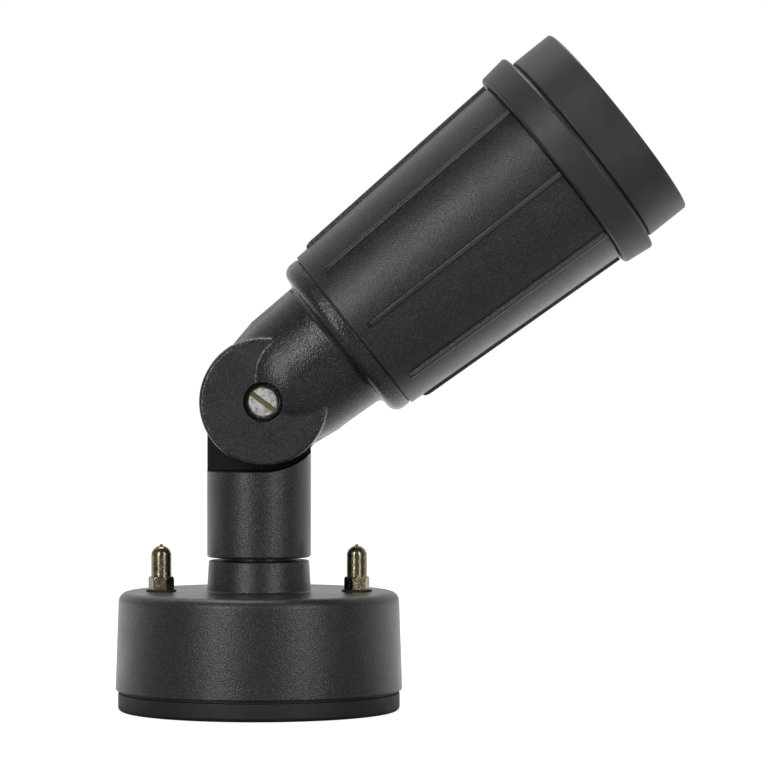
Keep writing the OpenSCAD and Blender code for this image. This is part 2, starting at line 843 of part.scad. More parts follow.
module knuckle_arm() {
    color("#232426")
        difference() {
            union() {
                difference() {
                    union() {
                        about_pivot()
                            ear();
                        arm_web();
                        along_head()
                            rotate_extrude()
                                polygon(concat(
                                    arc(0, ball_a, ball_r, -90, -neck_taper, ball_steps),
                                    arc(neck_r(cap_back_a) + neck_fillet_r, cap_back_a - neck_fillet_r,
                                        neck_fillet_r, 180, 90),
                                    arc(cap_r - cap_shoulder_r, cap_back_a + cap_shoulder_r,
                                        cap_shoulder_r, -90, 0),
                                    [[cap_r, cap_front_a], [0, cap_front_a]]
                                ));
                    }
                    arm_relief(0);
                    about_pivot()
                        ear_chamber();
                    arm_hollow();
                }
                along_head()
                    for (angle = screw_angles)
                        rotate([0, 0, angle])
                            translate([housing_screw_ring_r, 0, cap_back_a + arm_wall / 2])
                                cylinder(r = screw_boss_r, h = cap_l - arm_wall / 2);
            }
            about_pivot() {
                cylinder(r = pivot_r + fit_clear, h = 2 * ear_depth);
                translate([0, 0, recess_floor])
                    cylinder(d = recess_d, h = 2 * ear_depth);
            }
            along_head()
                for (angle = screw_angles)
                    rotate([0, 0, angle])
                        translate([housing_screw_ring_r, 0, cap_front_a - housing_screw_depth])
                            cylinder(r = housing_screw_d / 2 + thread_clear, h = housing_screw_depth + over);
        }
}

module joint_gasket() {
    color("#1b1c1e")
        along_head()
            translate([0, 0, cap_front_a])
                difference() {
                    ring(cap_r - joint_gasket_t, back_opening_r, joint_gasket_t);
                    for (angle = screw_angles)
                        rotate([0, 0, angle])
                            translate([housing_screw_ring_r, 0, -over])
                                cylinder(r = housing_screw_d / 2 + thread_clear, h = joint_gasket_t + 2 * over);
                }
}

// One rib, standing along the housing's cone on the +x side
module housing_rib() {
    start = housing_a + rib_start;
    run = 3 * rib_back_h;
    root = housing_wall / 2;
    rotate([90, 0, 0])
        translate([0, 0, -rib_w / 2])
            linear_extrude(rib_w)
                polygon(concat(
                    [[housing_r(start) - root, start]],
                    [for (i = [0 : arc_steps]) let (t = 90 * i / arc_steps)
                        [housing_r(start + run * (1 - cos(t))) + rib_back_h * sin(t),
                         start + run * (1 - cos(t))]],
                    [[housing_front_r + rib_front_h, housing_front_a],
                     [housing_front_r - root, housing_front_a]]
                ));
}

module lamp_housing() {
    back_inner_r = housing_back_r - housing_wall;
    seat_inner_r = boot_seat_r - housing_wall;
    floor_a = housing_a + back_wall;
    color("#232426")
        along_head()
            difference() {
                union() {
                    rotate_extrude()
                        polygon(concat(
                            [[back_opening_r, housing_a]],
                            arc(housing_back_r - housing_edge_r, housing_a + housing_edge_r,
                                housing_edge_r, -90, 0),
                            [[housing_front_r, housing_front_a], [boot_seat_r, housing_front_a],
                             [boot_seat_r, housing_front_a + seat_bead_w],
                             [boot_seat_r + seat_bead_h, housing_front_a + 1.5 * seat_bead_w],
                             [boot_seat_r + seat_bead_h, housing_front_a + 2 * seat_bead_w],
                             [boot_seat_r, housing_front_a + 2.5 * seat_bead_w],
                             [boot_seat_r, seat_end_a], [seat_inner_r, seat_end_a],
                             [seat_inner_r, housing_front_a - housing_wall],
                             [back_inner_r, floor_a], [back_opening_r, floor_a]]
                        ));
                    rotate([0, 0, housing_roll - 90])
                        for (i = [0 : rib_count - 1])
                            rotate([0, 0, 360 * i / rib_count])
                                housing_rib();
                    for (side = [-1, 1])
                        translate([0, side * post_r, housing_a + back_wall / 2])
                            cylinder(d = post_d, h = plate_a - housing_a - back_wall / 2);
                }
                for (angle = screw_angles)
                    rotate([0, 0, angle])
                        translate([housing_screw_ring_r, 0, housing_a - over])
                            cylinder(r = housing_screw_d / 2 + thread_clear, h = back_wall + 2 * over);
                for (side = [-1, 1])
                    translate([0, side * post_r, plate_a - plate_screw_l - plate_screw_d])
                        cylinder(r = plate_screw_d / 2 + thread_clear, h = plate_screw_l + 2 * plate_screw_d);
            }
}

module housing_screws() {
    color("#b9bcc0")
        along_head()
            for (angle = screw_angles)
                rotate([0, 0, angle])
                    translate([housing_screw_ring_r, 0, housing_a + back_wall])
                        pan_screw(housing_screw_d, back_wall + joint_gasket_t + housing_screw_depth - seat_gap,
                                  housing_screw_head_d, housing_screw_head_h);
}

module rubber_boot() {
    lip_back_a = mouth_a - sleeve_wall;
    sleeve_inner_r = sleeve_r - sleeve_wall;
    stop_a = seat_end_a + loose_clear;
    bead_a = housing_front_a + 0.75 * seat_bead_w;
    color("#202123")
        along_head()
            rotate_extrude()
                polygon(concat(
                    [[seat_clear_r, boot_a]],
                    arc(collar_back_r - collar_edge_r, boot_a + collar_edge_r, collar_edge_r, -90, 0),
                    arc(collar_front_r - collar_edge_r, collar_front_a - collar_edge_r,
                        collar_edge_r, 0, 90),
                    arc(waist_r + waist_l, collar_front_a + waist_l / 2, waist_l / 2, 270, 90),
                    arc(sleeve_r - mouth_edge_r, mouth_a - mouth_edge_r, mouth_edge_r, 0, 90),
                    arc(lip_r + mouth_edge_r, mouth_a - mouth_edge_r, mouth_edge_r, 90, 180),
                    [[lip_r, lip_back_a], [sleeve_inner_r, lip_back_a - sleeve_wall],
                     [sleeve_inner_r, collar_front_a], [lip_r, stop_a + sleeve_wall],
                     [lip_r, stop_a], [seat_clear_r, stop_a],
                     [seat_clear_r, bead_a + 2.25 * seat_bead_w],
                     [seat_clear_r + seat_bead_h, bead_a + 1.5 * seat_bead_w],
                     [seat_clear_r + seat_bead_h, bead_a + 0.5 * seat_bead_w],
                     [seat_clear_r, bead_a]]
                ));
}

module holder_plate() {
    color("#b9bcc0")
        along_head()
            translate([0, 0, plate_a])
                difference() {
                    linear_extrude(plate_t)
                        difference() {
                            union() {
                                circle(d = plate_w);
                                for (side = [-1, 1])
                                    hull() {
                                        translate([0, side * post_r])
                                            circle(r = plate_end_r, $fn = 32);
                                        circle(r = plate_w / 3, $fn = 32);
                                    }
                            }
                            for (side = [-1, 1])
                                translate([0, side * wire_hole_y])
                                    circle(r = 2 * wire_hole_r);
                        }
                    for (side = [-1, 1]) {
                        translate([0, side * post_r, -over])
                            cylinder(r = plate_screw_d / 2 + thread_clear, h = plate_t + 2 * over);
                        translate([side * holder_screw_x, 0, -over])
                            cylinder(r = holder_screw_d / 2 + thread_clear, h = plate_t + 2 * over);
                    }
                }
}

module plate_screws() {
    color("#b9bcc0")
        along_head()
            for (side = [-1, 1])
                translate([0, side * post_r, holder_a])
                    pan_screw(plate_screw_d, plate_t + plate_screw_l, 2 * plate_screw_d, plate_screw_d * 0.6);
}

module lampholder() {
    skirt_r = holder_skirt_d / 2;
    base_r = holder_base_d / 2;
    waist = holder_base_t * 0.6;
    color("#efeee8")
        along_head()
            translate([0, 0, holder_a])
                difference() {
                    rotate_extrude()
                        polygon(concat(
                            [[0, 0], [base_r - shell_t, 0], [base_r, shell_t], [base_r, waist]],
                            [[skirt_r, holder_base_t]],
                            arc(skirt_r - shell_t, holder_base_t + holder_skirt_l - shell_t, shell_t, 0, 90),
                            [[0, holder_base_t + holder_skirt_l]]
                        ));
                    translate([0, 0, holder_base_t + contact_well])
                        cylinder(r = holder_bore_r, h = holder_skirt_l);
                    translate([0, 0, holder_base_t])
                        cylinder(r = well_r, h = holder_skirt_l);
                    for (side = [-1, 1]) {
                        translate([side * holder_screw_x, 0, -over])
                            cylinder(r = holder_screw_d / 2 + thread_clear, h = holder_base_t + 2 * over);
                        translate([0, side * wire_hole_y, -over])
                            cylinder(r = wire_hole_r, h = holder_base_t / 2 + over);
                    }
                    for (side = [-1, 1])
                        translate([0, side * post_r, -over])
                            cylinder(r = plate_screw_d + 2 * loose_clear, h = holder_base_t + 2 * over);
                }
}

module holder_screws() {
    color("#b9bcc0")
        along_head()
            for (side = [-1, 1])
                translate([side * holder_screw_x, 0, holder_floor_a])
                    pan_screw(holder_screw_d, holder_base_t + plate_t + plate_t,
                              1.8 * holder_screw_d, holder_screw_head_h);
}

module screw_shell() {
    flange_r = shell_r - shell_t;
    color("#c9a24a")
        along_head()
            translate([0, 0, shell_a]) {
                ring(shell_outer_r, flange_r, shell_t);
                ring(shell_outer_r, shell_r, shell_l);
            }
}

module centre_contact() {
    height = contact_well - contact_r / 2 - shell_t;
    color("#c9a24a")
        along_head()
            translate([0, 0, holder_floor_a]) {
                cylinder(r = contact_r, h = height);
                translate([0, 0, height])
                    cylinder(r1 = contact_r, r2 = contact_r / 2, h = contact_r / 2);
            }
}

// A direction in the head's frame, down, back and along its axis, in the part's frame
function head_way(p) = head_point(p) - head_point([0, 0, 0]);

// Route of the pair of conductors, from the terminal block to the lampholder: a point midway,
// the way in which the two part there, and how far each lies from the middle.
lead_gap = lead_d * 0.67;
lead_path = [
    [[0, block_y + block_l / 2, sleeve_z], [1, 0, 0], pole_pitch / 2],
    [[0, block_y + lead_d / 2, sleeve_z], [1, 0, 0], pole_pitch / 2],
    [[0, 14.5, 9.2], [1, 0, 0], 4],
    [[0, 8, 14.5], [1, 0, 0], 2.6],
    [[0, 3.4, 23], [1, 0, 0], lead_gap],
    [[0, 1, 34], [1, 0, 0], lead_gap],
    [[0, 0, 46], [1, 0, 0], lead_gap],
    [[0, 0, 58], [1, 0, 0], lead_gap],
    [[0, 1.4, 70], [1, 0, 0], lead_gap],
    [[0.4, 4.6, 81], [1, 0, 0], lead_gap],
    [[1.4, 8, 90], [1, 0, 0], lead_gap],
    [[3.4, 10, 98], [1, 0, -0.2], lead_gap],
    [[7.6, 10.4, 104.2], [1, 0, -0.5], lead_gap],
    [[13.2, 8.2, 109], [0.7, 0, -0.7], lead_gap],
    [[17, 4, 114], [0.9, 0, -0.4], lead_gap],
    [[18.6, 0, 119], [1, 0, -0.1], lead_gap],
    [[18.7, -5.4, 124.2], [1, 0, 0.2], lead_gap],
    [head_point([6.2, -7.4, 21.4]), [1, 0.2, 0], lead_gap],
    [head_point([4, -8, 28.5]), head_way([1, 0.5, 0]), lead_gap],
    [head_point([2, -6.5, 36.5]), head_way([1, 1.4, 0]), lead_gap],
    [head_point([0.6, -4, 45]), head_way([0.4, 1, 0]), lead_gap],
    [head_point([0, -1.4, 53]), [0, 1, 0], 3.4],
    [head_point([0, 0, plate_a - 8]), [0, 1, 0], 7],
    [head_point([0, 0, plate_a - 2]), [0, 1, 0], wire_hole_y],
    [head_point([0, 0, holder_a]), [0, 1, 0], wire_hole_y],
    [head_point([0, 0, holder_a + holder_base_t / 2 - lead_d / 2]), [0, 1, 0], wire_hole_y]
];

lead_sides = 8;

function unit(v) = v / norm(v);

// Direction of a route at one of its points
function heading(p, i) =
    unit(i == 0 ? p[1] - p[0] : i == len(p) - 1 ? p[i] - p[i - 1] : p[i + 1] - p[i - 1]);

// A side direction for each ring, carried along the route without twist
function side_dirs(p, i = 0, last = [1, 0, 0]) =
    i == len(p) ? [] :
    let (t = heading(p, i), s = unit(last - (last * t) * t))
    concat([s], side_dirs(p, i + 1, s));

// Route of one conductor, on the side -1 or 1 of the middle
function lead_route(side) =
    let (middle = [for (step = lead_path) step[0]])
    [for (i = [0 : len(middle) - 1])
        let (t = heading(middle, i), w = lead_path[i][1])
        middle[i] + side * lead_path[i][2] * unit(w - (w * t) * t)];

module lead(p) {
    dirs = side_dirs(p);
    r = lead_d / 2;
    points = [for (i = [0 : len(p) - 1]) let (t = heading(p, i), s = dirs[i], u = cross(t, s))
        for (k = [0 : lead_sides - 1]) let (w = 360 * k / lead_sides)
            p[i] + r * cos(w) * s + r * sin(w) * u];
    last = (len(p) - 1) * lead_sides;
    faces = concat(
        [[for (k = [0 : lead_sides - 1]) k]],
        [for (i = [0 : len(p) - 2]) for (k = [0 : lead_sides - 1])
            let (a = i * lead_sides + k, b = i * lead_sides + (k + 1) % lead_sides)
            [a, a + lead_sides, b + lead_sides, b]],
        [[for (k = [lead_sides - 1 : -1 : 0]) last + k]]
    );
    polyhedron(points = points, faces = faces);
}

module lamp_leads() {
    color("#c8c4b8")
        for (side = [-1, 1])
            lead(lead_route(side));
}

base_gasket();
base_cover();
mounting_bracket();
fixing_studs();
nut_washers();
dome_nuts();
terminal_block();
terminal_sleeves();
terminal_screws();
thrust_washer();
swivel_stem();
spring_washer();
locknut();
knuckle_seal();
friction_washer();
pivot_screw();
pivot_washer();
pivot_nut();
knuckle_arm();
joint_gasket();
lamp_housing();
housing_screws();
rubber_boot();
holder_plate();
plate_screws();
lampholder();
holder_screws();
screw_shell();
centre_contact();
lamp_leads();
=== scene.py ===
from math import copysign, cos, hypot, pi, radians, sin, sqrt

import bmesh
import bpy
from mathutils import Matrix, Vector


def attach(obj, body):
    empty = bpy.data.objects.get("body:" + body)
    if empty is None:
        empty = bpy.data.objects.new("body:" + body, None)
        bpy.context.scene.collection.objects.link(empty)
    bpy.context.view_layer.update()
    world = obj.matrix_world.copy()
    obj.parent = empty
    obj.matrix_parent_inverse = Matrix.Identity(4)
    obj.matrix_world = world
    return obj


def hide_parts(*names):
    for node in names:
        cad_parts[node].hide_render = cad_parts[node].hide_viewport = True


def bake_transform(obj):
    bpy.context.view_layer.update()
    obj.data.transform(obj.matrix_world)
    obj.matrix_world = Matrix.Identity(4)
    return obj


bl_info = {
    "name": "Exterior spotlight holder",
    "version": (1, 0, 0),
    "blender": (4, 5, 0),
    "location": "3D View > Sidebar > Spotlight",
    "description": "Dresses the packed spotlight holder with its surfaces, materials, light and camera",
    "category": "Object",
}

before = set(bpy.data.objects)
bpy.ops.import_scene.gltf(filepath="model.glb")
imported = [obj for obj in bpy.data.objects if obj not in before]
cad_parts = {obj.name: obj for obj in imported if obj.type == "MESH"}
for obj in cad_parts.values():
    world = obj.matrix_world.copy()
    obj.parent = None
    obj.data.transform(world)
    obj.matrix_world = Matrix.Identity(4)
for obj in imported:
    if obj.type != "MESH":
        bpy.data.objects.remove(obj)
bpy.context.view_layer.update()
MM = 0.001


# Measures and places

def length(name, description, millimetres):
    """A length that a user may change, given in millimetres and kept in metres."""
    return bpy.props.FloatProperty(name=name, description=description, default=millimetres * MM,
                                   min=0.0, precision=5, subtype="DISTANCE", unit="LENGTH")


def linear(code):
    """The linear colour of an sRGB hex value."""
    shares = [int(code[i:i + 2], 16) / 255 for i in (1, 3, 5)]
    return [s / 12.92 if s <= 0.04045 else ((s + 0.055) / 1.055) ** 2.4 for s in shares] + [1.0]


def paint(name, description, code):
    """A colour that a user may change, given as an sRGB hex value."""
    return bpy.props.FloatVectorProperty(name=name, description=description, size=4,
                                         default=linear(code), min=0.0, max=1.0, subtype="COLOR")


class BaseSizes(bpy.types.PropertyGroup):
    """Sizes of the round base"""
    rim_radius: length("Rim radius", "Radius of the cover at its rim", 56.3)
    top_radius: length("Top radius", "Radius of the cover where its side would meet its top", 54.97)
    top_height: length("Top height", "Height of the cover's flat top above the wall", 46.6)
    edge_radius: length("Edge radius", "Rounding of the cover's top edge", 3.7)
    wall: length("Wall", "Wall thickness of the cover", 3.0)
    boss_foot: length("Boss foot radius", "Radius of the boss where it leaves the top", 20.45)
    boss_top: length("Boss top radius", "Radius of the boss at its top", 19.7)
    boss_height: length("Boss height", "Height of the boss above the top", 12.3)
    gasket_radius: length("Gasket radius", "Radius of the rubber gasket", 55.3)
    gasket_height: length("Gasket height", "Height of the gasket", 8.2)
    stud_place: length("Stud place", "Distance from the axis to a stud", 38.4)


class HeadSizes(bpy.types.PropertyGroup):
    """Sizes of the tilting head"""
    elevation: bpy.props.FloatProperty(name="Elevation",
                                       description="Angle of the head's axis above the wall",
                                       default=radians(38.5), subtype="ANGLE", unit="ROTATION")
    pivot_offset: length("Pivot offset", "Offset of the tilt pivot from the swivel axis", 2.2)
    pivot_height: length("Pivot height", "Height of the tilt pivot above the wall", 121.2)
    back_radius: length("Back radius", "Radius of the housing at its back", 36.3)
    front_radius: length("Front radius", "Radius of the housing at its front", 42.0)
    housing_start: length("Housing start", "Distance from the pivot to the housing", 44.9)
    housing_length: length("Housing length", "Length of the ribbed cone", 99.6)
    rib_width: length("Rib width", "Width of a rib", 2.1)
    rib_height: length("Rib height", "Height of a rib", 1.45)
    collar_radius: length("Collar radius", "Radius of the boot's collar at its front", 47.1)
    sleeve_radius: length("Sleeve radius", "Radius of the boot's sleeve", 43.1)
    lip_radius: length("Lip radius", "Inner radius of the boot's lip", 37.0)
    thread_pitch: length("Thread pitch", "Pitch of the lamp's round thread", 3.62)


class FinishColours(bpy.types.PropertyGroup):
    """Colours of the finishes"""
    body: paint("Body", "Black of the moulded plastic", "#171719")
    body_worn: paint("Body, rubbed", "Grey of the plastic where it has been handled", "#222224")
    # A paler grey for rubbed edges and crests, also used as a painted highlight along convex edges.
    pale_wear_and_edge_highlight: paint("Body, worn and highlit edges", "Grey of the plastic along its rubbed edges, and its painted edge highlight", "#6a6a6e")
    # A near-black painted on the stem's notch as its shade.
    notch_shade: paint("Body, painted notch shade", "Black painted on the stem's notch as its shade", "#0a0a0b")
    rubber: paint("Gasket", "Black of the smooth rubber", "#111112")
    boot: paint("Boot", "Black of the matt rubber", "#343437")
    zinc_gold: paint("Zinc, gold", "Golden parts of the passivated zinc", "#8c8062")
    zinc_olive: paint("Zinc, olive", "Olive parts of the passivated zinc", "#67644f")
    zinc_grey: paint("Zinc, grey", "Places where the zinc shows through", "#b0aea6")
    steel: paint("Steel", "Bright zinc-plated steel", "#c4c5c6")
    brass: paint("Brass", "Pressed brass", "#c9a55c")
    porcelain: paint("Porcelain", "White glaze", "#eeece4")
    nylon: paint("Nylon", "Dark nylon washer", "#38393b")
    block: paint("Block", "White insulating plastic", "#e6e4dc")
    braid: paint("Braid", "Woven glass sleeving", "#cfc9b8")


class StudioSettings(bpy.types.PropertyGroup):
    """Light and background"""
    front: bpy.props.FloatProperty(name="Front", description="Brightness of the studio before the object",
                                   default=0.17, min=0.0)
    behind: bpy.props.FloatProperty(name="Behind", description="Brightness of the studio behind the object",
                                    default=0.8, min=0.0)
    strips: bpy.props.FloatProperty(name="Strips", description="Power of each of the two upright strip lamps",
                                    default=8.6, min=0.0, subtype="POWER", unit="POWER")
    top: bpy.props.FloatProperty(name="Top", description="Power of the overhead lamp",
                                 default=12.0, min=0.0, subtype="POWER", unit="POWER")


def head_frame(head):
    """From the head's own frame, its z along the axis and its x on the lower side, to the part's."""
    return (Matrix.Translation((head.pivot_offset, 0, head.pivot_height))
            @ Matrix.Rotation(pi / 2 - head.elevation, 4, "Y"))


# Modelling helpers

def outline(points):
    """A closed wire in the xz plane through points (radius, height, rounding), in metres."""
    bm = bmesh.new()
    verts = [bm.verts.new((p[0], 0, p[1])) for p in points]
    for pair in zip(verts, verts[1:] + verts[:1]):
        bm.edges.new(pair)
    for vert, point in zip(verts, points):
        if len(point) > 2:
            bmesh.ops.bevel(bm, geom=[vert], offset=point[2], offset_type="OFFSET", segments=8,
                            profile=0.5, affect="VERTICES", material=-1)
    return bm


def spun(points, steps=224):
    """A ring-shaped solid: an outline turned once round z."""
    bm = outline(points)
    bmesh.ops.spin(bm, geom=bm.verts[:] + bm.edges[:], cent=(0, 0, 0), axis=(0, 0, 1),
                   angle=2 * pi, steps=steps, use_merge=True)
    bmesh.ops.remove_doubles(bm, verts=bm.verts, dist=1e-6)
    bmesh.ops.recalc_face_normals(bm, faces=bm.faces)
    return bm


def take(bm, other, matrix=Matrix.Identity(4)):
    """Moves another mesh into this one, placed by a matrix."""
    other.transform(matrix)
    mesh = bpy.data.meshes.new("taken")
    other.to_mesh(mesh)
    other.free()
    bm.from_mesh(mesh)
    bpy.data.meshes.remove(mesh)


def packed_copy(node, rounding, fillet=0.0, shape=None):
    """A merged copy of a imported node, reshaped, its sharp edges rounded and its inner corners filleted.

    The reshaping marks the vertices whose edges stay plain.
    """
    least, most = radians(26), radians(125)
    bm = bmesh.new()
    bm.from_mesh(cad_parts[node].data)
    # Points within 0.002 mm are one, edges under 0.06 mm go, and faces that turn under a degree are one.
    bmesh.ops.remove_doubles(bm, verts=bm.verts, dist=0.002 * MM)
    bmesh.ops.dissolve_degenerate(bm, dist=0.06 * MM, edges=bm.edges)
    bmesh.ops.dissolve_limit(bm, angle_limit=radians(1), verts=bm.verts, edges=bm.edges)
    plain = bm.verts.layers.int.new("plain")
    if shape:
        shape(bm, plain)
    bmesh.ops.connect_verts_concave(bm, faces=bm.faces)
    for amount, convex in ((fillet, False), (rounding, True)):
        sharp = [e for e in bm.edges if len(e.link_faces) == 2 and e.is_convex == convex
                 and not any(v[plain] for v in e.verts)
                 and least < e.calc_face_angle() < most]
        if amount and sharp:
            bmesh.ops.bevel(bm, geom=sharp, offset=amount, offset_type="OFFSET", segments=3,
                            profile=0.5, affect="EDGES", clamp_overlap=False, material=-1,
                            loop_slide=True)
    return bm


def lofted(sections):
    """A solid skinned through sections of as many points each, and the rings of its vertices."""
    bm = bmesh.new()
    face = bm.faces.new([bm.verts.new(point) for point in sections[0]])
    rings = [face.verts[:]]
    for section in sections[1:]:
        grown = bmesh.ops.extrude_face_region(bm, geom=[face])["geom"]
        face = next(g for g in grown if isinstance(g, bmesh.types.BMFace))
        rings.append(face.verts[:])
        for vert, point in zip(rings[-1], section):
            vert.co = point
    bmesh.ops.recalc_face_normals(bm, faces=bm.faces)
    return bm, rings


def piece(bm, name, body, finishes, replaces, crease=34):
    """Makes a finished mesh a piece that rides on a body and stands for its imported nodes."""
    mesh = bpy.data.meshes.new(name)
    for face in bm.faces:
        face.smooth = True
    for edge in bm.edges:
        if len(edge.link_faces) == 2 and edge.calc_face_angle(0) > radians(crease):
            edge.smooth = False
    bm.to_mesh(mesh)
    bm.free()
    for finish in finishes:
        mesh.materials.append(bpy.data.materials[finish])
    thing = bpy.data.objects.new(name, mesh)
    bpy.context.scene.collection.objects.link(thing)
    weights = thing.modifiers.new("Normals", "WEIGHTED_NORMAL")
    weights.keep_sharp = True
    if body:
        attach(thing, body)
    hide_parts(*replaces)
    return thing


def dress_nodes(body, rows):
    """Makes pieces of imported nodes: a node, a name, a slot, a finish and a rounding in millimetres each."""
    for node, name, slot, finish, rounding in rows:
        piece(packed_copy(node, rounding * MM), name, body, [finish], [node])


# Materials

def feed(node, inputs):
    """Sets or links a node's inputs, given by name or in the order of its live sockets.

    A node given as an input stands for its first live output.
    """
    if isinstance(inputs, dict):
        pairs = [(node.inputs[name], value) for name, value in inputs.items()]
    else:
        pairs = zip([socket for socket in node.inputs if socket.enabled], inputs)
    for socket, value in pairs:
        if isinstance(value, bpy.types.Node):
            value = next(output for output in value.outputs if output.enabled)
        if isinstance(value, bpy.types.NodeSocket):
            node.id_data.links.new(value, socket)
        else:
            socket.default_value = value


def add(tree, kind, inputs=(), **settings):
    """Adds one shader node with its settings and inputs."""
    node = tree.nodes.new("ShaderNode" + kind)
    for key, value in settings.items():
        setattr(node, key, value)
    feed(node, inputs)
    return node


def bare_tree(owner):
    """The emptied node tree of a material or a world."""
    owner.use_nodes = True
    owner.node_tree.nodes.clear()
    return owner.node_tree


def begin(name, **sockets):
    """Starts a material: its tree, its surface shader and the object's own coordinates."""
    tree = bare_tree(bpy.data.materials.new(name))
    surface = add(tree, "BsdfPrincipled", {key.replace("_", " "): value for key, value in sockets.items()})
    add(tree, "OutputMaterial", {"Surface": surface})
    return tree, surface, add(tree, "TexCoord").outputs["Object"]


def per(millimetres):
    """The scale at which one cell of a pattern spans this many millimetres."""
    return 1 / (millimetres * MM)


# The turn about y that lays a pattern's x along the slot of the pivot screw.
SLOT_TURN = (0, radians(-38), 0)


def spark_eroded_nylon(colours, name, width, depth, gloss):
    """Glass-filled nylon moulded in a spark-eroded tool: a pebbled satin, paler along its edges as rubbed
    edges and a painted edge highlight.
    """
    # The tool's craters and the glass at their crests are 0.1 to 0.2 mm wide; the craters are drawn 0.5 or
    # 0.65 mm wide and the glass 0.42 mm, so that they show.
    tree, surface, place = begin(name, Roughness=gloss, IOR=1.5, Coat_Weight=0.16, Coat_Roughness=0.2)
    pebble = add(tree, "TexNoise", {"Vector": place, "Scale": per(width), "Detail": 1.0, "Roughness": 0.5})
    flow = add(tree, "TexNoise", {"Vector": place, "Scale": per(14), "Detail": 3.0, "Roughness": 0.55})
    shade = add(tree, "MapRange", [flow, 0.35, 0.75, 0.0, 0.45])
    base = add(tree, "Mix", [shade, colours.body, colours.body_worn], data_type="RGBA")
    fibre = add(tree, "TexNoise", {"Vector": place, "Scale": per(0.42), "Detail": 1.0})
    crest = add(tree, "MapRange", [fibre, 0.5, 0.8, 0.0, 0.5])
    tone = add(tree, "Mix", [crest, base, colours.pale_wear_and_edge_highlight], data_type="RGBA")
    rough = add(tree, "MapRange", [flow, 0.3, 0.7, gloss - 0.04, gloss + 0.04])
    grain = add(tree, "Bump", {"Strength": 1.0, "Distance": depth, "Height": pebble})
    # Convex edges are painted paler: partly rubbed edges, partly a painted edge highlight.
    edge = add(tree, "MapRange", [add(tree, "NewGeometry").outputs["Pointiness"], 0.54, 0.64, 0.0, 0.4])
    rubbed = add(tree, "Mix", [edge, tone, colours.pale_wear_and_edge_highlight], data_type="RGBA")
    feed(surface, {"Base Color": rubbed, "Roughness": rough, "Normal": grain, "Coat Normal": grain})


def turned_face_nylon(colours, head):
    """The same nylon against a turned steel insert: smoother, with faint rings round the pivot."""
    # The insert's feed marks are 0.2 mm apart; they are drawn 0.9 mm apart so that they show.
    tree, surface, place = begin("Turned-face black nylon", Roughness=0.36, IOR=1.5)
    centred = add(tree, "Mapping", {"Vector": place, "Location": (-head.pivot_offset, 0, -head.pivot_height)})
    flat = add(tree, "VectorMath", [centred, (1, 0, 1)], operation="MULTIPLY")
    radius = add(tree, "VectorMath", [flat], operation="LENGTH")
    turns = add(tree, "Math", [radius, 2 * pi * per(0.9)], operation="MULTIPLY")
    wave = add(tree, "Math", [turns], operation="SINE")
    fade = add(tree, "TexNoise", {"Vector": place, "Scale": per(0.5), "Detail": 2.0})
    height = add(tree, "Math", [wave, 0.12, fade], operation="MULTIPLY_ADD")
    flow = add(tree, "TexNoise", {"Vector": place, "Scale": per(9), "Detail": 3.0})
    base = add(tree, "Mix", [flow, colours.body, colours.body_worn], data_type="RGBA")
    crest = add(tree, "MapRange", [fade, 0.45, 0.85, 0.0, 0.4])
    tone = add(tree, "Mix", [crest, base, colours.pale_wear_and_edge_highlight], data_type="RGBA")
    rough = add(tree, "MapRange", [flow, 0.3, 0.7, 0.3, 0.4])
    rings = add(tree, "Bump", {"Strength": 1.0, "Distance": 0.09 * MM, "Height": height})
    feed(surface, {"Base Color": tone, "Roughness": rough, "Normal": rings})


def notch_shade_nylon(colours):
    """The same nylon in the stem's deep notch: duller, painted darker as the notch's shade, with short drag
    lines.
    """
    # The drag lines are 0.1 mm wide; they are drawn 0.5 mm wide and 4 mm long.
    tree, surface, place = begin("Black nylon with painted notch shade", Roughness=0.6, IOR=1.4)
    along = add(tree, "Mapping", {"Vector": place, "Scale": (1.0, 1.0, 0.12)})
    drag = add(tree, "TexNoise", {"Vector": along, "Scale": per(0.5), "Detail": 2.0})
    # The near-black tone is painted shade of the deep notch behind the disc.
    tone = add(tree, "Mix", [drag, colours.notch_shade, colours.rubber], data_type="RGBA")
    marks = add(tree, "Bump", {"Strength": 0.3, "Distance": 0.05 * MM, "Height": drag})
    feed(surface, {"Base Color": tone, "Normal": marks})


def moulded_rubber(colours):
    """Black rubber moulded in a smooth tool: a soft low gloss, slightly uneven as it cures."""
    # The flow marks are about 8 mm long, and the fine skin is drawn at 0.8 mm.
    tree, surface, place = begin("Smooth black rubber", Roughness=0.4, IOR=1.52)
    flow = add(tree, "TexNoise", {"Vector": place, "Scale": per(8), "Detail": 3.0})
    skin = add(tree, "TexNoise", {"Vector": place, "Scale": per(0.8), "Detail": 2.0})
    tone = add(tree, "Mix", [flow, colours.rubber, colours.body], data_type="RGBA")
    rough = add(tree, "MapRange", [flow, 0.3, 0.7, 0.5, 0.62])
    uneven = add(tree, "Bump", {"Strength": 0.12, "Distance": 0.08 * MM, "Height": skin})
    feed(surface, {"Base Color": tone, "Roughness": rough, "Normal": uneven})


def blasted_mould_rubber(colours):
    """Soft black rubber from a blasted tool: matt, with a fine tooth that scatters the light."""
    # The blasted tooth is 0.05 to 0.1 mm; it is drawn at 0.5 mm so that it shows.
    tree, surface, place = begin("Matt black rubber", Roughness=0.55, IOR=1.5, Sheen_Weight=0.04,
                                 Sheen_Roughness=0.5)
    flow = add(tree, "TexNoise", {"Vector": place, "Scale": per(11), "Detail": 3.0})
    tooth = add(tree, "TexNoise", {"Vector": place, "Scale": per(0.5), "Detail": 2.0})
    tone = add(tree, "Mix", [flow, colours.body_worn, colours.boot], data_type="RGBA")
    rough = add(tree, "MapRange", [flow, 0.3, 0.7, 0.42, 0.5])
    uneven = add(tree, "Bump", {"Strength": 0.25, "Distance": 0.06 * MM, "Height": tooth})
    feed(surface, {"Base Color": tone, "Roughness": rough, "Normal": uneven})


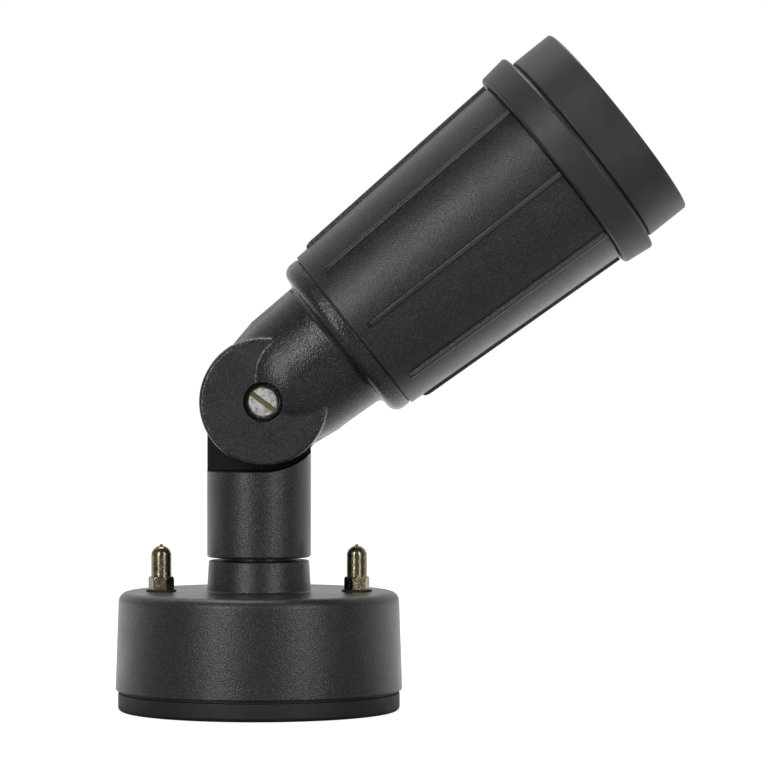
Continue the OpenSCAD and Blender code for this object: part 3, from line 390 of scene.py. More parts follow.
def yellow_passivated_zinc(colours):
    """Zinc plating dipped in chromate: drifting gold and olive, thin and grey where it was gripped."""
    # The film's colour drifts over 2 to 4 mm, and the stains in it are about 0.9 mm across.
    tree, surface, place = begin("Yellow-passivated zinc", Metallic=1.0, Roughness=0.2)
    drift = add(tree, "TexNoise", {"Vector": place, "Scale": per(3), "Detail": 3.0, "Distortion": 0.6})
    stain = add(tree, "TexNoise", {"Vector": place, "Scale": per(0.9), "Detail": 3.0})
    band = add(tree, "MapRange", [drift, 0.38, 0.62])
    thin = add(tree, "MapRange", [stain, 0.55, 0.68, 0.0, 0.9])
    film = add(tree, "Mix", [band, colours.zinc_olive, colours.zinc_gold], data_type="RGBA")
    tone = add(tree, "Mix", [thin, film, colours.zinc_grey], data_type="RGBA")
    rough = add(tree, "MapRange", [stain, 0.3, 0.7, 0.14, 0.3])
    dents = add(tree, "Bump", {"Strength": 0.2, "Distance": 0.04 * MM, "Height": stain})
    feed(surface, {"Base Color": tone, "Roughness": rough, "Normal": dents})


def bright_plated_steel(colours):
    """Pressed steel with bright zinc: a soft mirror with fine rolling lines."""
    # Rolling lines are 0.05 mm wide; they are drawn 0.4 mm wide and 8 mm long.
    tree, surface, place = begin("Zinc-plated steel", Metallic=1.0, Roughness=0.32)
    along = add(tree, "Mapping", {"Vector": place, "Scale": (0.05, 1.0, 1.0)})
    lines = add(tree, "TexNoise", {"Vector": along, "Scale": per(0.4), "Detail": 2.0})
    cloud = add(tree, "TexNoise", {"Vector": place, "Scale": per(4), "Detail": 2.0})
    tone = add(tree, "Mix", [cloud, colours.steel, colours.zinc_grey], data_type="RGBA")
    rough = add(tree, "MapRange", [lines, 0.3, 0.7, 0.26, 0.4])
    marks = add(tree, "Bump", {"Strength": 0.15, "Distance": 0.03 * MM, "Height": lines})
    feed(surface, {"Base Color": tone, "Roughness": rough, "Normal": marks})


def driven_screw_steel(colours):
    """A plated screw that has been driven: scratched across, dull, yellowed where the plating thinned."""
    # Driver scratches are 0.1 mm wide; they are drawn 0.6 mm wide and 2 mm long.
    tree, surface, place = begin("Scratched screw steel", Metallic=1.0, Roughness=0.4)
    turned = add(tree, "Mapping", {"Vector": place, "Rotation": SLOT_TURN, "Scale": (0.3, 1.0, 1.0)})
    scratch = add(tree, "TexNoise", {"Vector": turned, "Scale": per(0.6), "Detail": 4.0, "Roughness": 0.7})
    cloud = add(tree, "TexNoise", {"Vector": place, "Scale": per(2.2), "Detail": 3.0})
    film = add(tree, "MapRange", [cloud, 0.45, 0.62, 0.0, 0.7])
    tone = add(tree, "Mix", [film, colours.steel, colours.zinc_gold], data_type="RGBA")
    rough = add(tree, "MapRange", [scratch, 0.3, 0.7, 0.2, 0.5])
    marks = add(tree, "Bump", {"Strength": 1.0, "Distance": 0.28 * MM, "Height": scratch})
    feed(surface, {"Base Color": tone, "Roughness": rough, "Normal": marks})


def pressed_brass(colours):
    """Brass sheet pressed and rolled to a thread: warm, with fine drawing lines."""
    # Drawing lines are 0.05 mm wide; they are drawn 0.4 mm wide.
    tree, surface, place = begin("Pressed brass", Metallic=1.0, Roughness=0.28)
    lines = add(tree, "TexNoise", {"Vector": place, "Scale": per(0.4), "Detail": 2.0})
    cloud = add(tree, "TexNoise", {"Vector": place, "Scale": per(5), "Detail": 2.0})
    tone = add(tree, "Mix", [cloud, colours.brass, colours.zinc_gold], data_type="RGBA")
    rough = add(tree, "MapRange", [lines, 0.3, 0.7, 0.22, 0.36])
    marks = add(tree, "Bump", {"Strength": 0.1, "Distance": 0.03 * MM, "Height": lines})
    feed(surface, {"Base Color": tone, "Roughness": rough, "Normal": marks})


def glazed_porcelain(colours):
    """Pressed steatite under a clear glaze: white, glossy, with a soft orange peel."""
    # The glaze's orange peel is about 2 mm from crest to crest.
    tree, surface, place = begin("Glazed porcelain", Roughness=0.2, IOR=1.5, Coat_Weight=0.6,
                                 Coat_Roughness=0.08)
    peel = add(tree, "TexNoise", {"Vector": place, "Scale": per(2), "Detail": 1.0})
    speck = add(tree, "TexNoise", {"Vector": place, "Scale": per(0.7), "Detail": 2.0})
    dots = add(tree, "MapRange", [speck, 0.68, 0.76, 0.0, 0.35])
    tone = add(tree, "Mix", [dots, colours.porcelain, colours.braid], data_type="RGBA")
    uneven = add(tree, "Bump", {"Strength": 0.1, "Distance": 0.1 * MM, "Height": peel})
    feed(surface, {"Base Color": tone, "Normal": uneven})


def moulded_urea(colours):
    """White insulating plastic moulded in a polished tool: even, with a soft gloss."""
    # Flow marks are about 4 mm long.
    tree, surface, place = begin("White moulded urea", Roughness=0.35, IOR=1.5)
    flow = add(tree, "TexNoise", {"Vector": place, "Scale": per(4), "Detail": 2.0})
    tone = add(tree, "Mix", [flow, colours.block, colours.porcelain], data_type="RGBA")
    rough = add(tree, "MapRange", [flow, 0.3, 0.7, 0.3, 0.42])
    uneven = add(tree, "Bump", {"Strength": 0.08, "Distance": 0.1 * MM, "Height": flow})
    feed(surface, {"Base Color": tone, "Roughness": rough, "Normal": uneven})


def milled_slot_steel(colours):
    """The floor of the screw's slot as the saw left it: dull, lined lengthwise, yellowed by the plating."""
    # The saw's lines are 0.1 mm wide; they are drawn 0.35 mm wide and 3.5 mm long.
    tree, surface, place = begin("Milled slot steel", Metallic=1.0, Roughness=0.55)
    turned = add(tree, "Mapping", {"Vector": place, "Rotation": SLOT_TURN, "Scale": (0.1, 1.0, 1.0)})
    lines = add(tree, "TexNoise", {"Vector": turned, "Scale": per(0.35), "Detail": 3.0})
    cloud = add(tree, "TexNoise", {"Vector": place, "Scale": per(3), "Detail": 2.0})
    tone = add(tree, "Mix", [cloud, colours.zinc_olive, colours.zinc_gold], data_type="RGBA")
    marks = add(tree, "Bump", {"Strength": 1.0, "Distance": 0.3 * MM, "Height": lines})
    feed(surface, {"Base Color": tone, "Normal": marks})


def stamped_nylon(colours):
    """Dark nylon stamped from sheet: smooth and slightly waxy."""
    # The sheet's surface is drawn with a 1.2 mm ripple.
    tree, surface, place = begin("Stamped dark nylon", Roughness=0.38, IOR=1.53)
    ripple = add(tree, "TexNoise", {"Vector": place, "Scale": per(1.2), "Detail": 2.0})
    tone = add(tree, "Mix", [ripple, colours.nylon, colours.body_worn], data_type="RGBA")
    uneven = add(tree, "Bump", {"Strength": 0.1, "Distance": 0.08 * MM, "Height": ripple})
    feed(surface, {"Base Color": tone, "Normal": uneven})


def woven_sleeving(colours):
    """Glass-fibre sleeving over a conductor: crossed strands, dull and slightly yellow."""
    # A strand is drawn 0.9 mm wide and crosses at 45 degrees; the piece's own map runs in millimetres.
    tree, surface, _ = begin("Woven glass sleeving", Roughness=0.7, IOR=1.45, Sheen_Weight=0.2,
                             Sheen_Roughness=0.4)
    grid = add(tree, "UVMap", uv_map="Weave")
    turned = add(tree, "Mapping", {"Vector": grid, "Rotation": (0, 0, radians(45))})
    strand = add(tree, "TexWave", {"Vector": turned, "Scale": 0.35}, wave_profile="SIN")
    turned_back = add(tree, "Mapping", {"Vector": grid, "Rotation": (0, 0, radians(-45))})
    crossing = add(tree, "TexWave", {"Vector": turned_back, "Scale": 0.35}, wave_profile="SIN")
    weave = add(tree, "Math", [strand.outputs["Fac"], crossing.outputs["Fac"]], operation="MAXIMUM")
    tone = add(tree, "Mix", [weave, colours.zinc_grey, colours.braid], data_type="RGBA")
    relief = add(tree, "Bump", {"Strength": 0.6, "Distance": 0.1 * MM, "Height": weave})
    feed(surface, {"Base Color": tone, "Normal": relief})


class SPOT_OT_materials(bpy.types.Operator):
    """Makes every finish of the object"""
    bl_idname = "spot.materials"
    bl_label = "Materials"

    def execute(self, context):
        colours = context.scene.spot_colours
        spark_eroded_nylon(colours, "Spark-eroded black nylon", 0.5, 0.13 * MM, 0.36)
        spark_eroded_nylon(colours, "Coarser spark-eroded nylon", 0.65, 0.2 * MM, 0.25)
        turned_face_nylon(colours, context.scene.spot_head)
        for make in (notch_shade_nylon, moulded_rubber, blasted_mould_rubber, yellow_passivated_zinc,
                     bright_plated_steel, driven_screw_steel, milled_slot_steel, pressed_brass,
                     glazed_porcelain, moulded_urea, stamped_nylon, woven_sleeving):
            make(colours)
        return {"FINISHED"}


# Base

class SPOT_OT_cover(bpy.types.Operator):
    """Models the round cover with its boss and the pillars round the studs"""
    bl_idname = "spot.cover"
    bl_label = "Cover"

    def execute(self, context):
        s = context.scene.spot_base
        low = s.gasket_height
        high = s.top_height
        boss = high + s.boss_height
        ledge = s.rim_radius - 5 * MM
        hole = 9.98 * MM
        core = 16.5 * MM
        floor = boss - 3.5 * MM
        bm = spun([
            (ledge, low), (s.rim_radius, low, 0.5 * MM),
            (s.top_radius, high, s.edge_radius), (s.boss_foot, high, 0.9 * MM),
            (s.boss_top, boss, 0.8 * MM), (hole, boss), (hole, floor),
            (core, floor, 1 * MM), (core, high - s.wall, 0.8 * MM),
            (s.top_radius - s.wall, high - s.wall, 1.5 * MM), (s.rim_radius - s.wall, low + 4 * MM),
            (ledge, low + 2.5 * MM),
        ])
        bore, pillar, foot, top = 2.8 * MM, 5.8 * MM, 29.6 * MM, 43.9 * MM
        for side in (-1, 1):
            take(bm, spun([(bore, foot), (pillar, foot, 0.4 * MM), (pillar, top), (bore, top)], 48),
                 Matrix.Translation((side * s.stud_place, 0, 0)))
        piece(bm, "cover_shell", "base", ["Spark-eroded black nylon"], ["base_cover"])
        return {"FINISHED"}


class SPOT_OT_gasket(bpy.types.Operator):
    """Models the thick rubber gasket under the cover"""
    bl_idname = "spot.gasket"
    bl_label = "Gasket"

    def execute(self, context):
        s = context.scene.spot_base
        bore = 47.5 * MM
        neck = s.gasket_radius - 0.9 * MM
        shoulder = s.gasket_height - 1.1 * MM
        bm = spun([
            (bore, 0), (s.gasket_radius, 0, 1.7 * MM), (s.gasket_radius, shoulder, 0.45 * MM),
            (neck, shoulder, 0.2 * MM), (neck, s.gasket_height), (bore, s.gasket_height),
        ])
        piece(bm, "gasket_ring", "base", ["Smooth black rubber"], ["base_gasket"])
        return {"FINISHED"}


class SPOT_OT_fixings(bpy.types.Operator):
    """Rounds the dome nuts, washers, studs, strap and terminal block of the base"""
    bl_idname = "spot.fixings"
    bl_label = "Fixings"

    def execute(self, context):
        dress_nodes("base", (
            ("dome_nuts", "nuts", "yellow_zinc", "Yellow-passivated zinc", 0.18),
            ("nut_washers", "nut_seals", "washer_rubber", "Smooth black rubber", 0.15),
            ("fixing_studs", "studs", "yellow_zinc", "Yellow-passivated zinc", 0.2),
            ("mounting_bracket", "strap", "plated_steel", "Zinc-plated steel", 0.25),
            ("terminal_block", "block", "white_plastic", "White moulded urea", 0.3),
            ("terminal_sleeves", "pole_sleeves", "brass", "Pressed brass", 0.1),
            ("terminal_screws", "pole_screws", "plated_steel", "Zinc-plated steel", 0.08),
            ("thrust_washer", "thrust_ring", "nylon", "Stamped dark nylon", 0.15)))
        return {"FINISHED"}


# Stem and knuckle

def dress_turned_faces(bm, head, side):
    """Gives the flat round face of an ear, on one side of the lap, the second finish of its list."""
    depth = 20 * MM
    rim = 23 * MM
    centre = Vector((head.pivot_offset, 0, head.pivot_height))
    for face in bm.faces:
        x, y, z = face.calc_center_median() - centre
        if face.normal.y * side > 0.99 and abs(y) > depth and hypot(x, z) < rim:
            face.material_index = 1


def dress_notch(bm):
    """Gives the stem's cut-away side, the deep notch behind the disc, the third finish of its list, which
    paints its shade.
    """
    lap_side = 0.75 * MM
    notch_foot = 93.5 * MM
    for face in bm.faces:
        middle = face.calc_center_median()
        if middle.y < lap_side and middle.z > notch_foot:
            face.material_index = 2


def cut_strips(bm, plain, face, halfway):
    """Cuts a face of the web's front from its outer line to its foot, so that it slopes evenly."""
    line = sorted((v for v in face.verts if v.co.y > halfway), key=lambda v: v.co.z)
    foot = sorted((v for v in face.verts if v.co.y <= halfway), key=lambda v: v.co.z)
    for low in foot:
        after = next((i for i, v in enumerate(line) if v.co.z > low.co.z), 0)
        if not after:
            continue
        near, far = line[after - 1:after + 1]
        share = (low.co.z - near.co.z) / (far.co.z - near.co.z)
        if share > 0.001:
            _, middle = bmesh.utils.edge_split(bm.edges.get((near, far)), near, share)
            middle[plain] = 1
            line.insert(after, middle)
            near = middle
        shared = [f for f in near.link_faces if f in low.link_faces]
        if shared and not bm.edges.get((near, low)):
            bmesh.utils.face_split(shared[0], near, low)


def draft_web(bm, plain, head):
    """Slopes the thin web beside the neck back to the lap, so that it runs on from the neck's round."""
    # The web lies between the lap and its front, this far before the pivot's middle plane. Half its width
    # grows, from narrow at the pivot to lower or upper at the end cap's corner, on those sides of the neck.
    lap, front, corner, narrow, lower, upper = (n * MM for n in (0.6, 6.5, 15.5, 24.4, 26.6, 27.5))
    # Its outer line keeps this share of its depth.
    kept = 0.12
    near = 0.04 * MM
    place = head_frame(head)
    bm.transform(place.inverted())
    for edge in bm.edges:
        if not edge.is_convex and all(abs(v.co.y + lap) < near and v.co.z > 5 * MM for v in edge.verts):
            for vert in edge.verts:
                vert[plain] = 1
    faces = [f for f in bm.faces if f.normal.y < -0.99 and abs(f.calc_center_median().y + front) < near]
    for vert in bm.verts:
        x, y, z = vert.co
        wide = lower if x > 0 else upper
        outer = min(narrow + max(z, 0) / corner * (wide - narrow), wide)
        beyond = z > corner + 1 * MM
        if (abs(abs(x) - outer) < near and -front - near < y < -lap - near
                and z > 1 * MM and not (beyond and x > 0)):
            vert[plain] = 1
            vert.co.y = -lap + (y + lap) * kept
            if beyond:
                vert.co.x = copysign(sqrt(x * x + y * y - vert.co.y ** 2), x)
    for face in faces:
        cut_strips(bm, plain, face, -front / 2)
    bm.transform(place)
    bm.normal_update()


def shallow_slot(bm, _):
    """Raises the floor of the pivot screw's slot into the light, and gives it the second finish."""
    floor = -17.6 * MM
    raised = -18 * MM
    near = 0.05 * MM
    for vert in bm.verts:
        if abs(vert.co.y - floor) < near:
            vert.co.y += raised - floor
    for face in bm.faces:
        if abs(face.calc_center_median().y - raised) < near:
            face.material_index = 1


class SPOT_OT_knuckle(bpy.types.Operator):
    """Models the stem, the arm and the pivot between them"""
    bl_idname = "spot.knuckle"
    bl_label = "Stem and knuckle"

    def execute(self, context):
        head = context.scene.spot_head
        stem = packed_copy("swivel_stem", 0.3 * MM, 0.5 * MM)
        dress_turned_faces(stem, head, 1)
        dress_notch(stem)
        piece(stem, "stem_body", "stem",
              ["Spark-eroded black nylon", "Turned-face black nylon", "Black nylon with painted notch shade"], ["swivel_stem"])
        arm = packed_copy("knuckle_arm", 0.3 * MM, 0.7 * MM, lambda bm, plain: draft_web(bm, plain, head))
        dress_turned_faces(arm, head, -1)
        piece(arm, "arm_body", "head",
              ["Coarser spark-eroded nylon", "Turned-face black nylon"], ["knuckle_arm"], 50)
        dress_nodes("stem", (
            ("knuckle_seal", "lap_seal", "gasket_rubber", "Smooth black rubber", 0.25),
            ("friction_washer", "lap_washer", "nylon", "Stamped dark nylon", 0.15)))
        piece(packed_copy("pivot_screw", 0.15 * MM, shape=shallow_slot), "pivot_bolt", "stem",
              ["Scratched screw steel", "Milled slot steel"], ["pivot_screw"])
        dress_nodes("stem", (
            ("pivot_washer", "pivot_ring", "pivot_steel", "Scratched screw steel", 0.12),
            ("pivot_nut", "pivot_hex", "pivot_steel", "Zinc-plated steel", 0.2),
            ("spring_washer", "stem_spring", "plated_steel", "Zinc-plated steel", 0.15),
            ("locknut", "stem_nut", "plated_steel", "Zinc-plated steel", 0.3)))
        return {"FINISHED"}


# Head

def rib(s, angle):
    """One rib of the housing, its section carried station by station along the cone."""
    slope = (s.front_radius - s.back_radius) / s.housing_length
    half = s.rib_width / 2
    root = 0.55 * MM
    # Places across the rib, and the share of its height there.
    section = [(-half - root, -0.25), (-half - 0.4 * root, -0.02), (-half - 0.1 * root, 0.14), (-half, 0.36),
               (-half + 0.05 * MM, 0.7), (-half + 0.22 * MM, 0.9), (-half + 0.6 * MM, 1.0)]
    section += [(-across, up) for across, up in reversed(section)]
    start = s.housing_start + 5.4 * MM
    # Millimetres along the rib, and the share of its height there.
    stations = [(0.0, 0.05), (0.35, 0.45), (0.9, 0.72), (1.8, 0.92), (3.2, 1.0), (93.9, 1.0)]
    bm, _ = lofted([[(s.back_radius + (start - s.housing_start + along * MM) * slope
                      + up * s.rib_height * (share if up > 0 else 1), across, start + along * MM)
                     for across, up in section] for along, share in stations])
    bm.transform(Matrix.Rotation(angle, 4, "Z"))
    return bm


class SPOT_OT_housing(bpy.types.Operator):
    """Models the ribbed housing with its back wall, spigot and posts"""
    bl_idname = "spot.housing"
    bl_label = "Housing"

    def execute(self, context):
        s = context.scene.spot_head
        back = s.housing_start
        front = back + s.housing_length
        opening = 23 * MM
        floor = back + 3.2 * MM
        seat = 39.6 * MM
        bead = seat + 0.6 * MM
        rim = front + 8.5 * MM
        wall = 2.6 * MM
        bm = spun([
            (opening, back), (s.back_radius, back, 0.5 * MM), (s.front_radius, front, 0.4 * MM),
            (seat, front), (seat, front + 2.1 * MM), (bead, front + 3.2 * MM),
            (bead, front + 4.25 * MM), (seat, front + 5.3 * MM), (seat, rim, 0.5 * MM),
            (seat - wall, rim, 0.5 * MM), (seat - wall, front - wall),
            (s.back_radius - wall, floor, 1.5 * MM), (opening, floor, 0.4 * MM),
        ])
        for i in range(8):
            take(bm, rib(s, radians(45 * i - 86.5)))
        bore, post, foot, top = 1.6 * MM, 3.8 * MM, back + 2 * MM, 68.1 * MM
        for side in (-1, 1):
            take(bm, spun([(bore, foot), (post, foot), (post, top, 0.3 * MM), (bore, top)], 48),
                 Matrix.Translation((0, side * 26.4 * MM, 0)))
        bm.transform(head_frame(s))
        piece(bm, "housing_shell", "head", ["Spark-eroded black nylon"], ["lamp_housing"], 40)
        return {"FINISHED"}


class SPOT_OT_boot(bpy.types.Operator):
    """Models the rubber boot: its collar, its waist, its sleeve and the lip that grips the lamp"""
    bl_idname = "spot.boot"
    bl_label = "Boot"

    def execute(self, context):
        s = context.scene.spot_head
        back = s.housing_start + s.housing_length + 0.5 * MM
        shoulder = back + 12.4 * MM
        mouth = shoulder + 19.7 * MM
        grip = 39.65 * MM
        groove = grip + 0.6 * MM
        step = back + 8.3 * MM
        waist = s.sleeve_radius - 0.9 * MM
        inside = s.sleeve_radius - 3.4 * MM
        bm = spun([
            (grip, back), (s.collar_radius - 1.5 * MM, back, 1.2 * MM),
            (s.collar_radius, shoulder, 1.2 * MM), (waist, shoulder, 0.5 * MM),
            (waist, shoulder + 1.1 * MM, 0.3 * MM), (s.sleeve_radius, shoulder + 1.6 * MM, 0.6 * MM),
            (s.sleeve_radius, mouth, 0.85 * MM), (s.lip_radius, mouth, 1.2 * MM),
            (s.lip_radius, mouth - 3.4 * MM, 1.0 * MM), (inside, mouth - 6.8 * MM, 1.0 * MM),
            (inside, shoulder, 1.0 * MM), (s.lip_radius, shoulder - 0.1 * MM, 0.6 * MM),
            (s.lip_radius, step), (grip, step), (grip, back + 6 * MM),
            (groove, back + 4.3 * MM), (groove, back + 2.2 * MM), (grip, back + 1.1 * MM),
        ])
        bm.transform(head_frame(s))
        piece(bm, "boot_shell", "head", ["Matt black rubber"], ["rubber_boot"])
        return {"FINISHED"}


class SPOT_OT_lampholder(bpy.types.Operator):
    """Models the lampholder, its rolled screw shell, its contact and its fixings"""
    bl_idname = "spot.lampholder"
    bl_label = "Lampholder"

    def execute(self, context):
        s = context.scene.spot_head
        low = 91.2 * MM
        high = 111.5 * MM
        points = 16
        turns = 8
        steps = 64
        bm = bmesh.new()
        wave = []
        for i in range(points + 1):
            radius = (13.2 - 0.55 * cos(2 * pi * i / points)) * MM
            wave.append(bm.verts.new((radius, 0, low - s.thread_pitch * (1 - i / points))))
        edges = [bm.edges.new(pair) for pair in zip(wave, wave[1:])]
        bmesh.ops.spin(bm, geom=wave + edges, cent=(0, 0, 0), axis=(0, 0, 1), angle=2 * pi * turns,
                       dvec=(0, 0, s.thread_pitch / steps), steps=steps * turns)
        bmesh.ops.remove_doubles(bm, verts=bm.verts, dist=2e-6)
        for level, way in ((low, -1), (high, 1)):
            bmesh.ops.bisect_plane(bm, geom=bm.verts[:] + bm.edges[:] + bm.faces[:], plane_co=(0, 0, level),
                                   plane_no=(0, 0, way), clear_outer=True)
        bmesh.ops.recalc_face_normals(bm, faces=bm.faces)
        bmesh.ops.solidify(bm, geom=bm.faces[:], thickness=0.35 * MM)
        inner, outer, top = 12.7 * MM, 13.8 * MM, low + 0.6 * MM
        take(bm, spun([(inner, low), (outer, low), (outer, top), (inner, top)], 64))
        bm.transform(head_frame(s))
        piece(bm, "thread_shell", "head", ["Pressed brass"], ["screw_shell"])
        dress_nodes("head", (
            ("lampholder", "holder_body", "porcelain", "Glazed porcelain", 0.4),
            ("centre_contact", "contact_button", "brass", "Pressed brass", 0.25),
            ("holder_plate", "holder_strap", "plated_steel", "Zinc-plated steel", 0.2),
            ("plate_screws", "strap_screws", "plated_steel", "Zinc-plated steel", 0.15),
            ("holder_screws", "body_screws", "plated_steel", "Zinc-plated steel", 0.2),
            ("housing_screws", "back_screws", "plated_steel", "Zinc-plated steel", 0.2),
            ("joint_gasket", "joint_seal", "gasket_rubber", "Smooth black rubber", 0.0)))
        return {"FINISHED"}


# Route of the pair of leads, in millimetres: a point midway, the way in which the two part there, and how
# far each lies from the middle. The head's stretch is in the head's own frame.
STEM_ROUTE = (
    ((0, 27, 7.46), (1, 0, 0), 5.5), ((0, 21.2, 7.46), (1, 0, 0), 5.5), ((0, 14.5, 9.2), (1, 0, 0), 4),
    ((0, 8, 14.5), (1, 0, 0), 2.6), ((0, 3.4, 23), (1, 0, 0), 1.6), ((0, 1, 34), (1, 0, 0), 1.6),
    ((0, 0, 46), (1, 0, 0), 1.6), ((0, 0, 58), (1, 0, 0), 1.6), ((0, 1.4, 70), (1, 0, 0), 1.6),
    ((0.4, 4.6, 81), (1, 0, 0), 1.6), ((1.4, 8, 90), (1, 0, 0), 1.6), ((3.4, 10, 98), (1, 0, -0.2), 1.6),
    ((7.6, 10.4, 104.2), (1, 0, -0.5), 1.6), ((13.2, 8.2, 109), (0.7, 0, -0.7), 1.6),
    ((17, 4, 114), (0.9, 0, -0.4), 1.6), ((18.6, 0, 119), (1, 0, -0.1), 1.6),
    ((18.7, -5.4, 124.2), (1, 0, 0.2), 1.6),
)
HEAD_ROUTE = (
    ((6.2, -7.4, 21.4), (0.62, 0.2, 0.78), 1.6), ((4, -8, 28.5), (1, 0.5, 0), 1.6),
    ((2, -6.5, 36.5), (1, 1.4, 0), 1.6), ((0.6, -4, 45), (0.4, 1, 0), 1.6), ((0, -1.4, 53), (0, 1, 0), 3.4),
    ((0, 0, 60.1), (0, 1, 0), 7), ((0, 0, 66.1), (0, 1, 0), 9), ((0, 0, 69.7), (0, 1, 0), 9),
    ((0, 0, 76), (0, 1, 0), 9),
)


def lead_line(s, side):
    """The smooth line of one lead, on the side -1 or 1 of the pair's middle."""
    place = head_frame(s)
    steps = [(Vector(point) * MM, Vector(way), gap * MM) for point, way, gap in STEM_ROUTE]
    steps += [(place @ (Vector(point) * MM), place.to_3x3() @ Vector(way), gap * MM)
              for point, way, gap in HEAD_ROUTE]
    middle = [step[0] for step in steps]
    line = []
    for i, (point, way, gap) in enumerate(steps):
        along = (middle[min(i + 1, len(steps) - 1)] - middle[max(i - 1, 0)]).normalized()
        line.append(point + side * gap * (way - way.dot(along) * along).normalized())
    smooth = []
    line = [line[0], *line, line[-1]]
    parts = 6
    for a, b, c, d in zip(line, line[1:], line[2:], line[3:]):
        for i in range(parts):
            t = i / parts
            smooth.append((2 * b + (c - a) * t + (2 * a - 5 * b + 4 * c - d) * t ** 2
                           + (3 * b - a - 3 * c + d) * t ** 3) / 2)
    return smooth + [line[-1]]


def sleeved_lead(line):
    """A round lead along a line, with a map in millimetres that its weave is drawn on."""
    sides = 16
    radius = 1.2 * MM
    across = Vector((1, 0, 0))
    sections = []
    for i, point in enumerate(line):
        along = (line[min(i + 1, len(line) - 1)] - line[max(i - 1, 0)]).normalized()
        across = (across - across.dot(along) * along).normalized()
        side = along.cross(across)
        sections.append([point + radius * (cos(2 * pi * k / sides) * across + sin(2 * pi * k / sides) * side)
                         for k in range(sides)])
    bm, rings = lofted(sections)
    reach = 0.0
    place = {}
    for i, ring in enumerate(rings):
        reach += (line[i] - line[max(i - 1, 0)]).length / MM
        for k, vert in enumerate(ring):
            place[vert] = (k, reach)
    weave = bm.loops.layers.uv.new("Weave")
    for face in bm.faces:
        wraps = max(place[v][0] for v in face.verts) - min(place[v][0] for v in face.verts) > sides / 2
        for loop in face.loops:
            k, reach = place[loop.vert]
            loop[weave].uv = ((k + sides * (wraps and k == 0)) * 2 * pi * radius / MM / sides, reach)
    return bm


class SPOT_OT_leads(bpy.types.Operator):
    """Models the two sleeved leads, each in a length below the swivel and one across the knuckle"""
    bl_idname = "spot.leads"
    bl_label = "Leads"

    def execute(self, context):
        above_swivel = 64 * MM
        for side, name in ((-1, "left"), (1, "right")):
            line = lead_line(context.scene.spot_head, side)
            parting = next(i for i, point in enumerate(line) if point.z > above_swivel)
            lower = piece(sleeved_lead(line[:parting + 1]), f"lead_{name}_lower", None,
                          ["Woven glass sleeving"], ["lamp_leads"])
            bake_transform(lower)
            upper = piece(sleeved_lead(line[parting:]), f"lead_{name}_upper", None,
                          ["Woven glass sleeving"], ["lamp_leads"])
            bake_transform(upper)
        return {"FINISHED"}


# Studio

WHITE = (1, 1, 1, 1)


def paper_sweep():
    """Matt white paper that keeps the object's shadow."""
    # The lamps light it as grey paper; it glows up to white where the camera sees it, and behind the object
    # where the object mirrors it.
    paper = bpy.data.materials.new("White paper sweep")
    tree = bare_tree(paper)
    rays = add(tree, "LightPath")
    spot = add(tree, "SeparateXYZ", [add(tree, "TexCoord").outputs["Object"]])
    beyond = add(tree, "MapRange", [spot.outputs["Y"], -0.06, 0.14], interpolation_type="SMOOTHSTEP")
    mirrored = add(tree, "Math", [rays.outputs["Is Glossy Ray"], beyond], operation="MULTIPLY")
    seen = add(tree, "Math", [rays.outputs["Is Camera Ray"], mirrored], operation="MAXIMUM")
    lit = add(tree, "BsdfDiffuse", {"Color": linear("#9c9c9c")})
    glow = add(tree, "Emission", {"Color": WHITE, "Strength": 0.9})
    both = add(tree, "AddShader", [lit, glow])
    add(tree, "OutputMaterial", {"Surface": add(tree, "MixShader", [seen, lit, both])})
    return paper


def surround(front, behind):
    """The studio's walls: white to the camera, and as a light brighter behind the object than before it."""
    world = bpy.data.worlds.new("Studio")
    tree = bare_tree(world)
    rays = add(tree, "LightPath")
    seen = add(tree, "Math", [rays.outputs["Is Camera Ray"], rays.outputs["Is Transmission Ray"]],
               operation="MAXIMUM")
    way = add(tree, "SeparateXYZ", [add(tree, "TexCoord").outputs["Generated"]])
    level = add(tree, "MapRange", [way.outputs["Y"], -0.3, 1.0, front, behind],
                interpolation_type="SMOOTHSTEP")
    around = add(tree, "Background", {"Color": WHITE, "Strength": level})
    white = add(tree, "Background", {"Color": WHITE, "Strength": 1.0})
    add(tree, "OutputWorld", {"Surface": add(tree, "MixShader", [seen, around, white])})
    return world


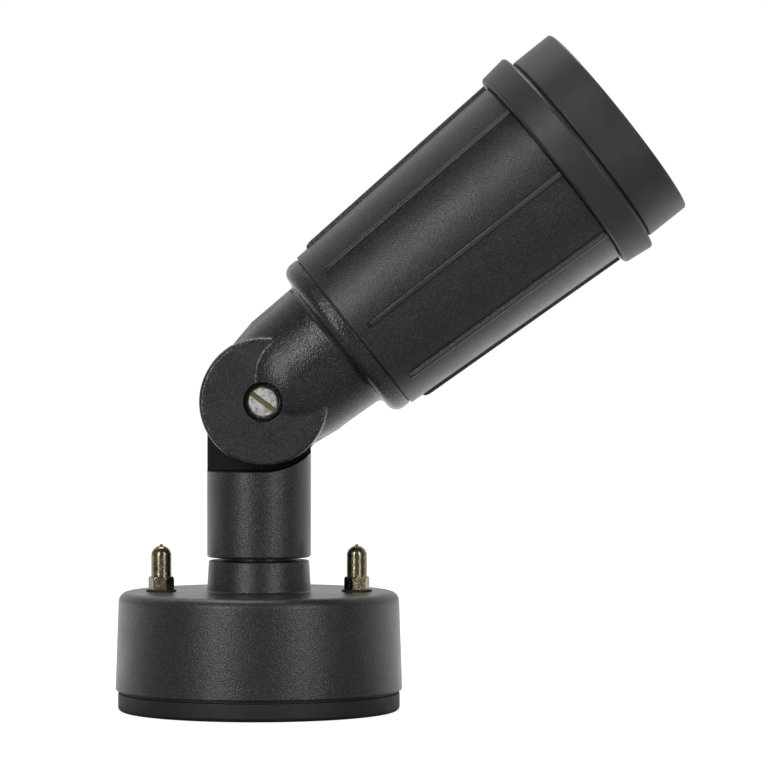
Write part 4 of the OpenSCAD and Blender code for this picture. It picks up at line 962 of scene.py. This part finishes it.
class SPOT_OT_studio(bpy.types.Operator):
    """Sets up the white floor, the surround, the lamps and the camera"""
    bl_idname = "spot.studio"
    bl_label = "Studio"

    def execute(self, context):
        scene = context.scene
        s = scene.spot_studio
        scene.view_settings.view_transform = "Standard"
        scene.world = surround(s.front, s.behind)
        bm = bmesh.new()
        bmesh.ops.create_grid(bm, x_segments=8, y_segments=8, size=6)
        mesh = bpy.data.meshes.new("floor")
        bm.to_mesh(mesh)
        bm.free()
        mesh.materials.append(paper_sweep())
        floor = bpy.data.objects.new("floor", mesh)
        scene.collection.objects.link(floor)

        # Each lamp: its angle from the front, its distance and height from the target, its width and its
        # length, in metres, and its power.
        target = Vector((0.04, 0, 0.12))
        for name, angle, reach, height, wide, tall, power in (
                ("strip_left", -32, 1.3, 0.25, 0.24, 1.3, s.strips),
                ("strip_right", 36, 1.3, 0.25, 0.3, 1.3, 0.85 * s.strips),
                ("top_panel", 180, 0.4, 1.4, 1.0, 0.5, s.top)):
            light = bpy.data.lights.new(name, "AREA")
            light.shape = "RECTANGLE"
            light.size = wide
            light.size_y = tall
            light.energy = power
            lamp = bpy.data.objects.new(name, light)
            turn = radians(angle)
            lamp.location = target + Vector((reach * sin(turn), -reach * cos(turn), height))
            lamp.rotation_euler = (target - lamp.location).to_track_quat("-Z", "Y").to_euler()
            scene.collection.objects.link(lamp)

        # The photo's view is level, and its middle lies 34 of its 768 pixels off the lens's axis.
        lens = bpy.data.cameras.new("camera")
        lens.sensor_width = 36
        lens.lens = 187.5
        lens.shift_y = -34 / 768
        lens.clip_end = 50
        camera = bpy.data.objects.new("camera", lens)
        camera.location = (0.0491, -1.572, 0.1414)
        camera.rotation_euler = (pi / 2, 0, 0)
        scene.collection.objects.link(camera)
        scene.camera = camera
        return {"FINISHED"}


STEPS = (SPOT_OT_materials, SPOT_OT_cover, SPOT_OT_gasket, SPOT_OT_fixings, SPOT_OT_knuckle,
         SPOT_OT_housing, SPOT_OT_boot, SPOT_OT_lampholder, SPOT_OT_leads, SPOT_OT_studio)


class SPOT_PT_panel(bpy.types.Panel):
    """Lists the steps and the values that they use"""
    bl_label = "Spotlight holder"
    bl_idname = "SPOT_PT_panel"
    bl_space_type = "VIEW_3D"
    bl_region_type = "UI"
    bl_category = "Spotlight"

    def draw(self, context):
        for step in STEPS:
            self.layout.operator(step.bl_idname)
        for group in (context.scene.spot_base, context.scene.spot_head, context.scene.spot_colours,
                      context.scene.spot_studio):
            # The first two properties are Blender's own.
            for key in group.bl_rna.properties.keys()[2:]:
                self.layout.prop(group, key)


GROUPS = {"spot_base": BaseSizes, "spot_head": HeadSizes, "spot_colours": FinishColours,
          "spot_studio": StudioSettings}


def register():
    for group in GROUPS.values():
        bpy.utils.register_class(group)
    for cls in (*STEPS, SPOT_PT_panel):
        bpy.utils.register_class(cls)
    for key, group in GROUPS.items():
        setattr(bpy.types.Scene, key, bpy.props.PointerProperty(type=group))


def unregister():
    for key in GROUPS:
        delattr(bpy.types.Scene, key)
    for cls in (SPOT_PT_panel, *reversed(STEPS), *reversed(GROUPS.values())):
        bpy.utils.unregister_class(cls)


def main():
    """Registers the add-on and runs its steps in order."""
    register()
    for step in STEPS:
        area, name = step.bl_idname.split(".")
        getattr(getattr(bpy.ops, area), name)()


if __name__ == "__main__":
    main()
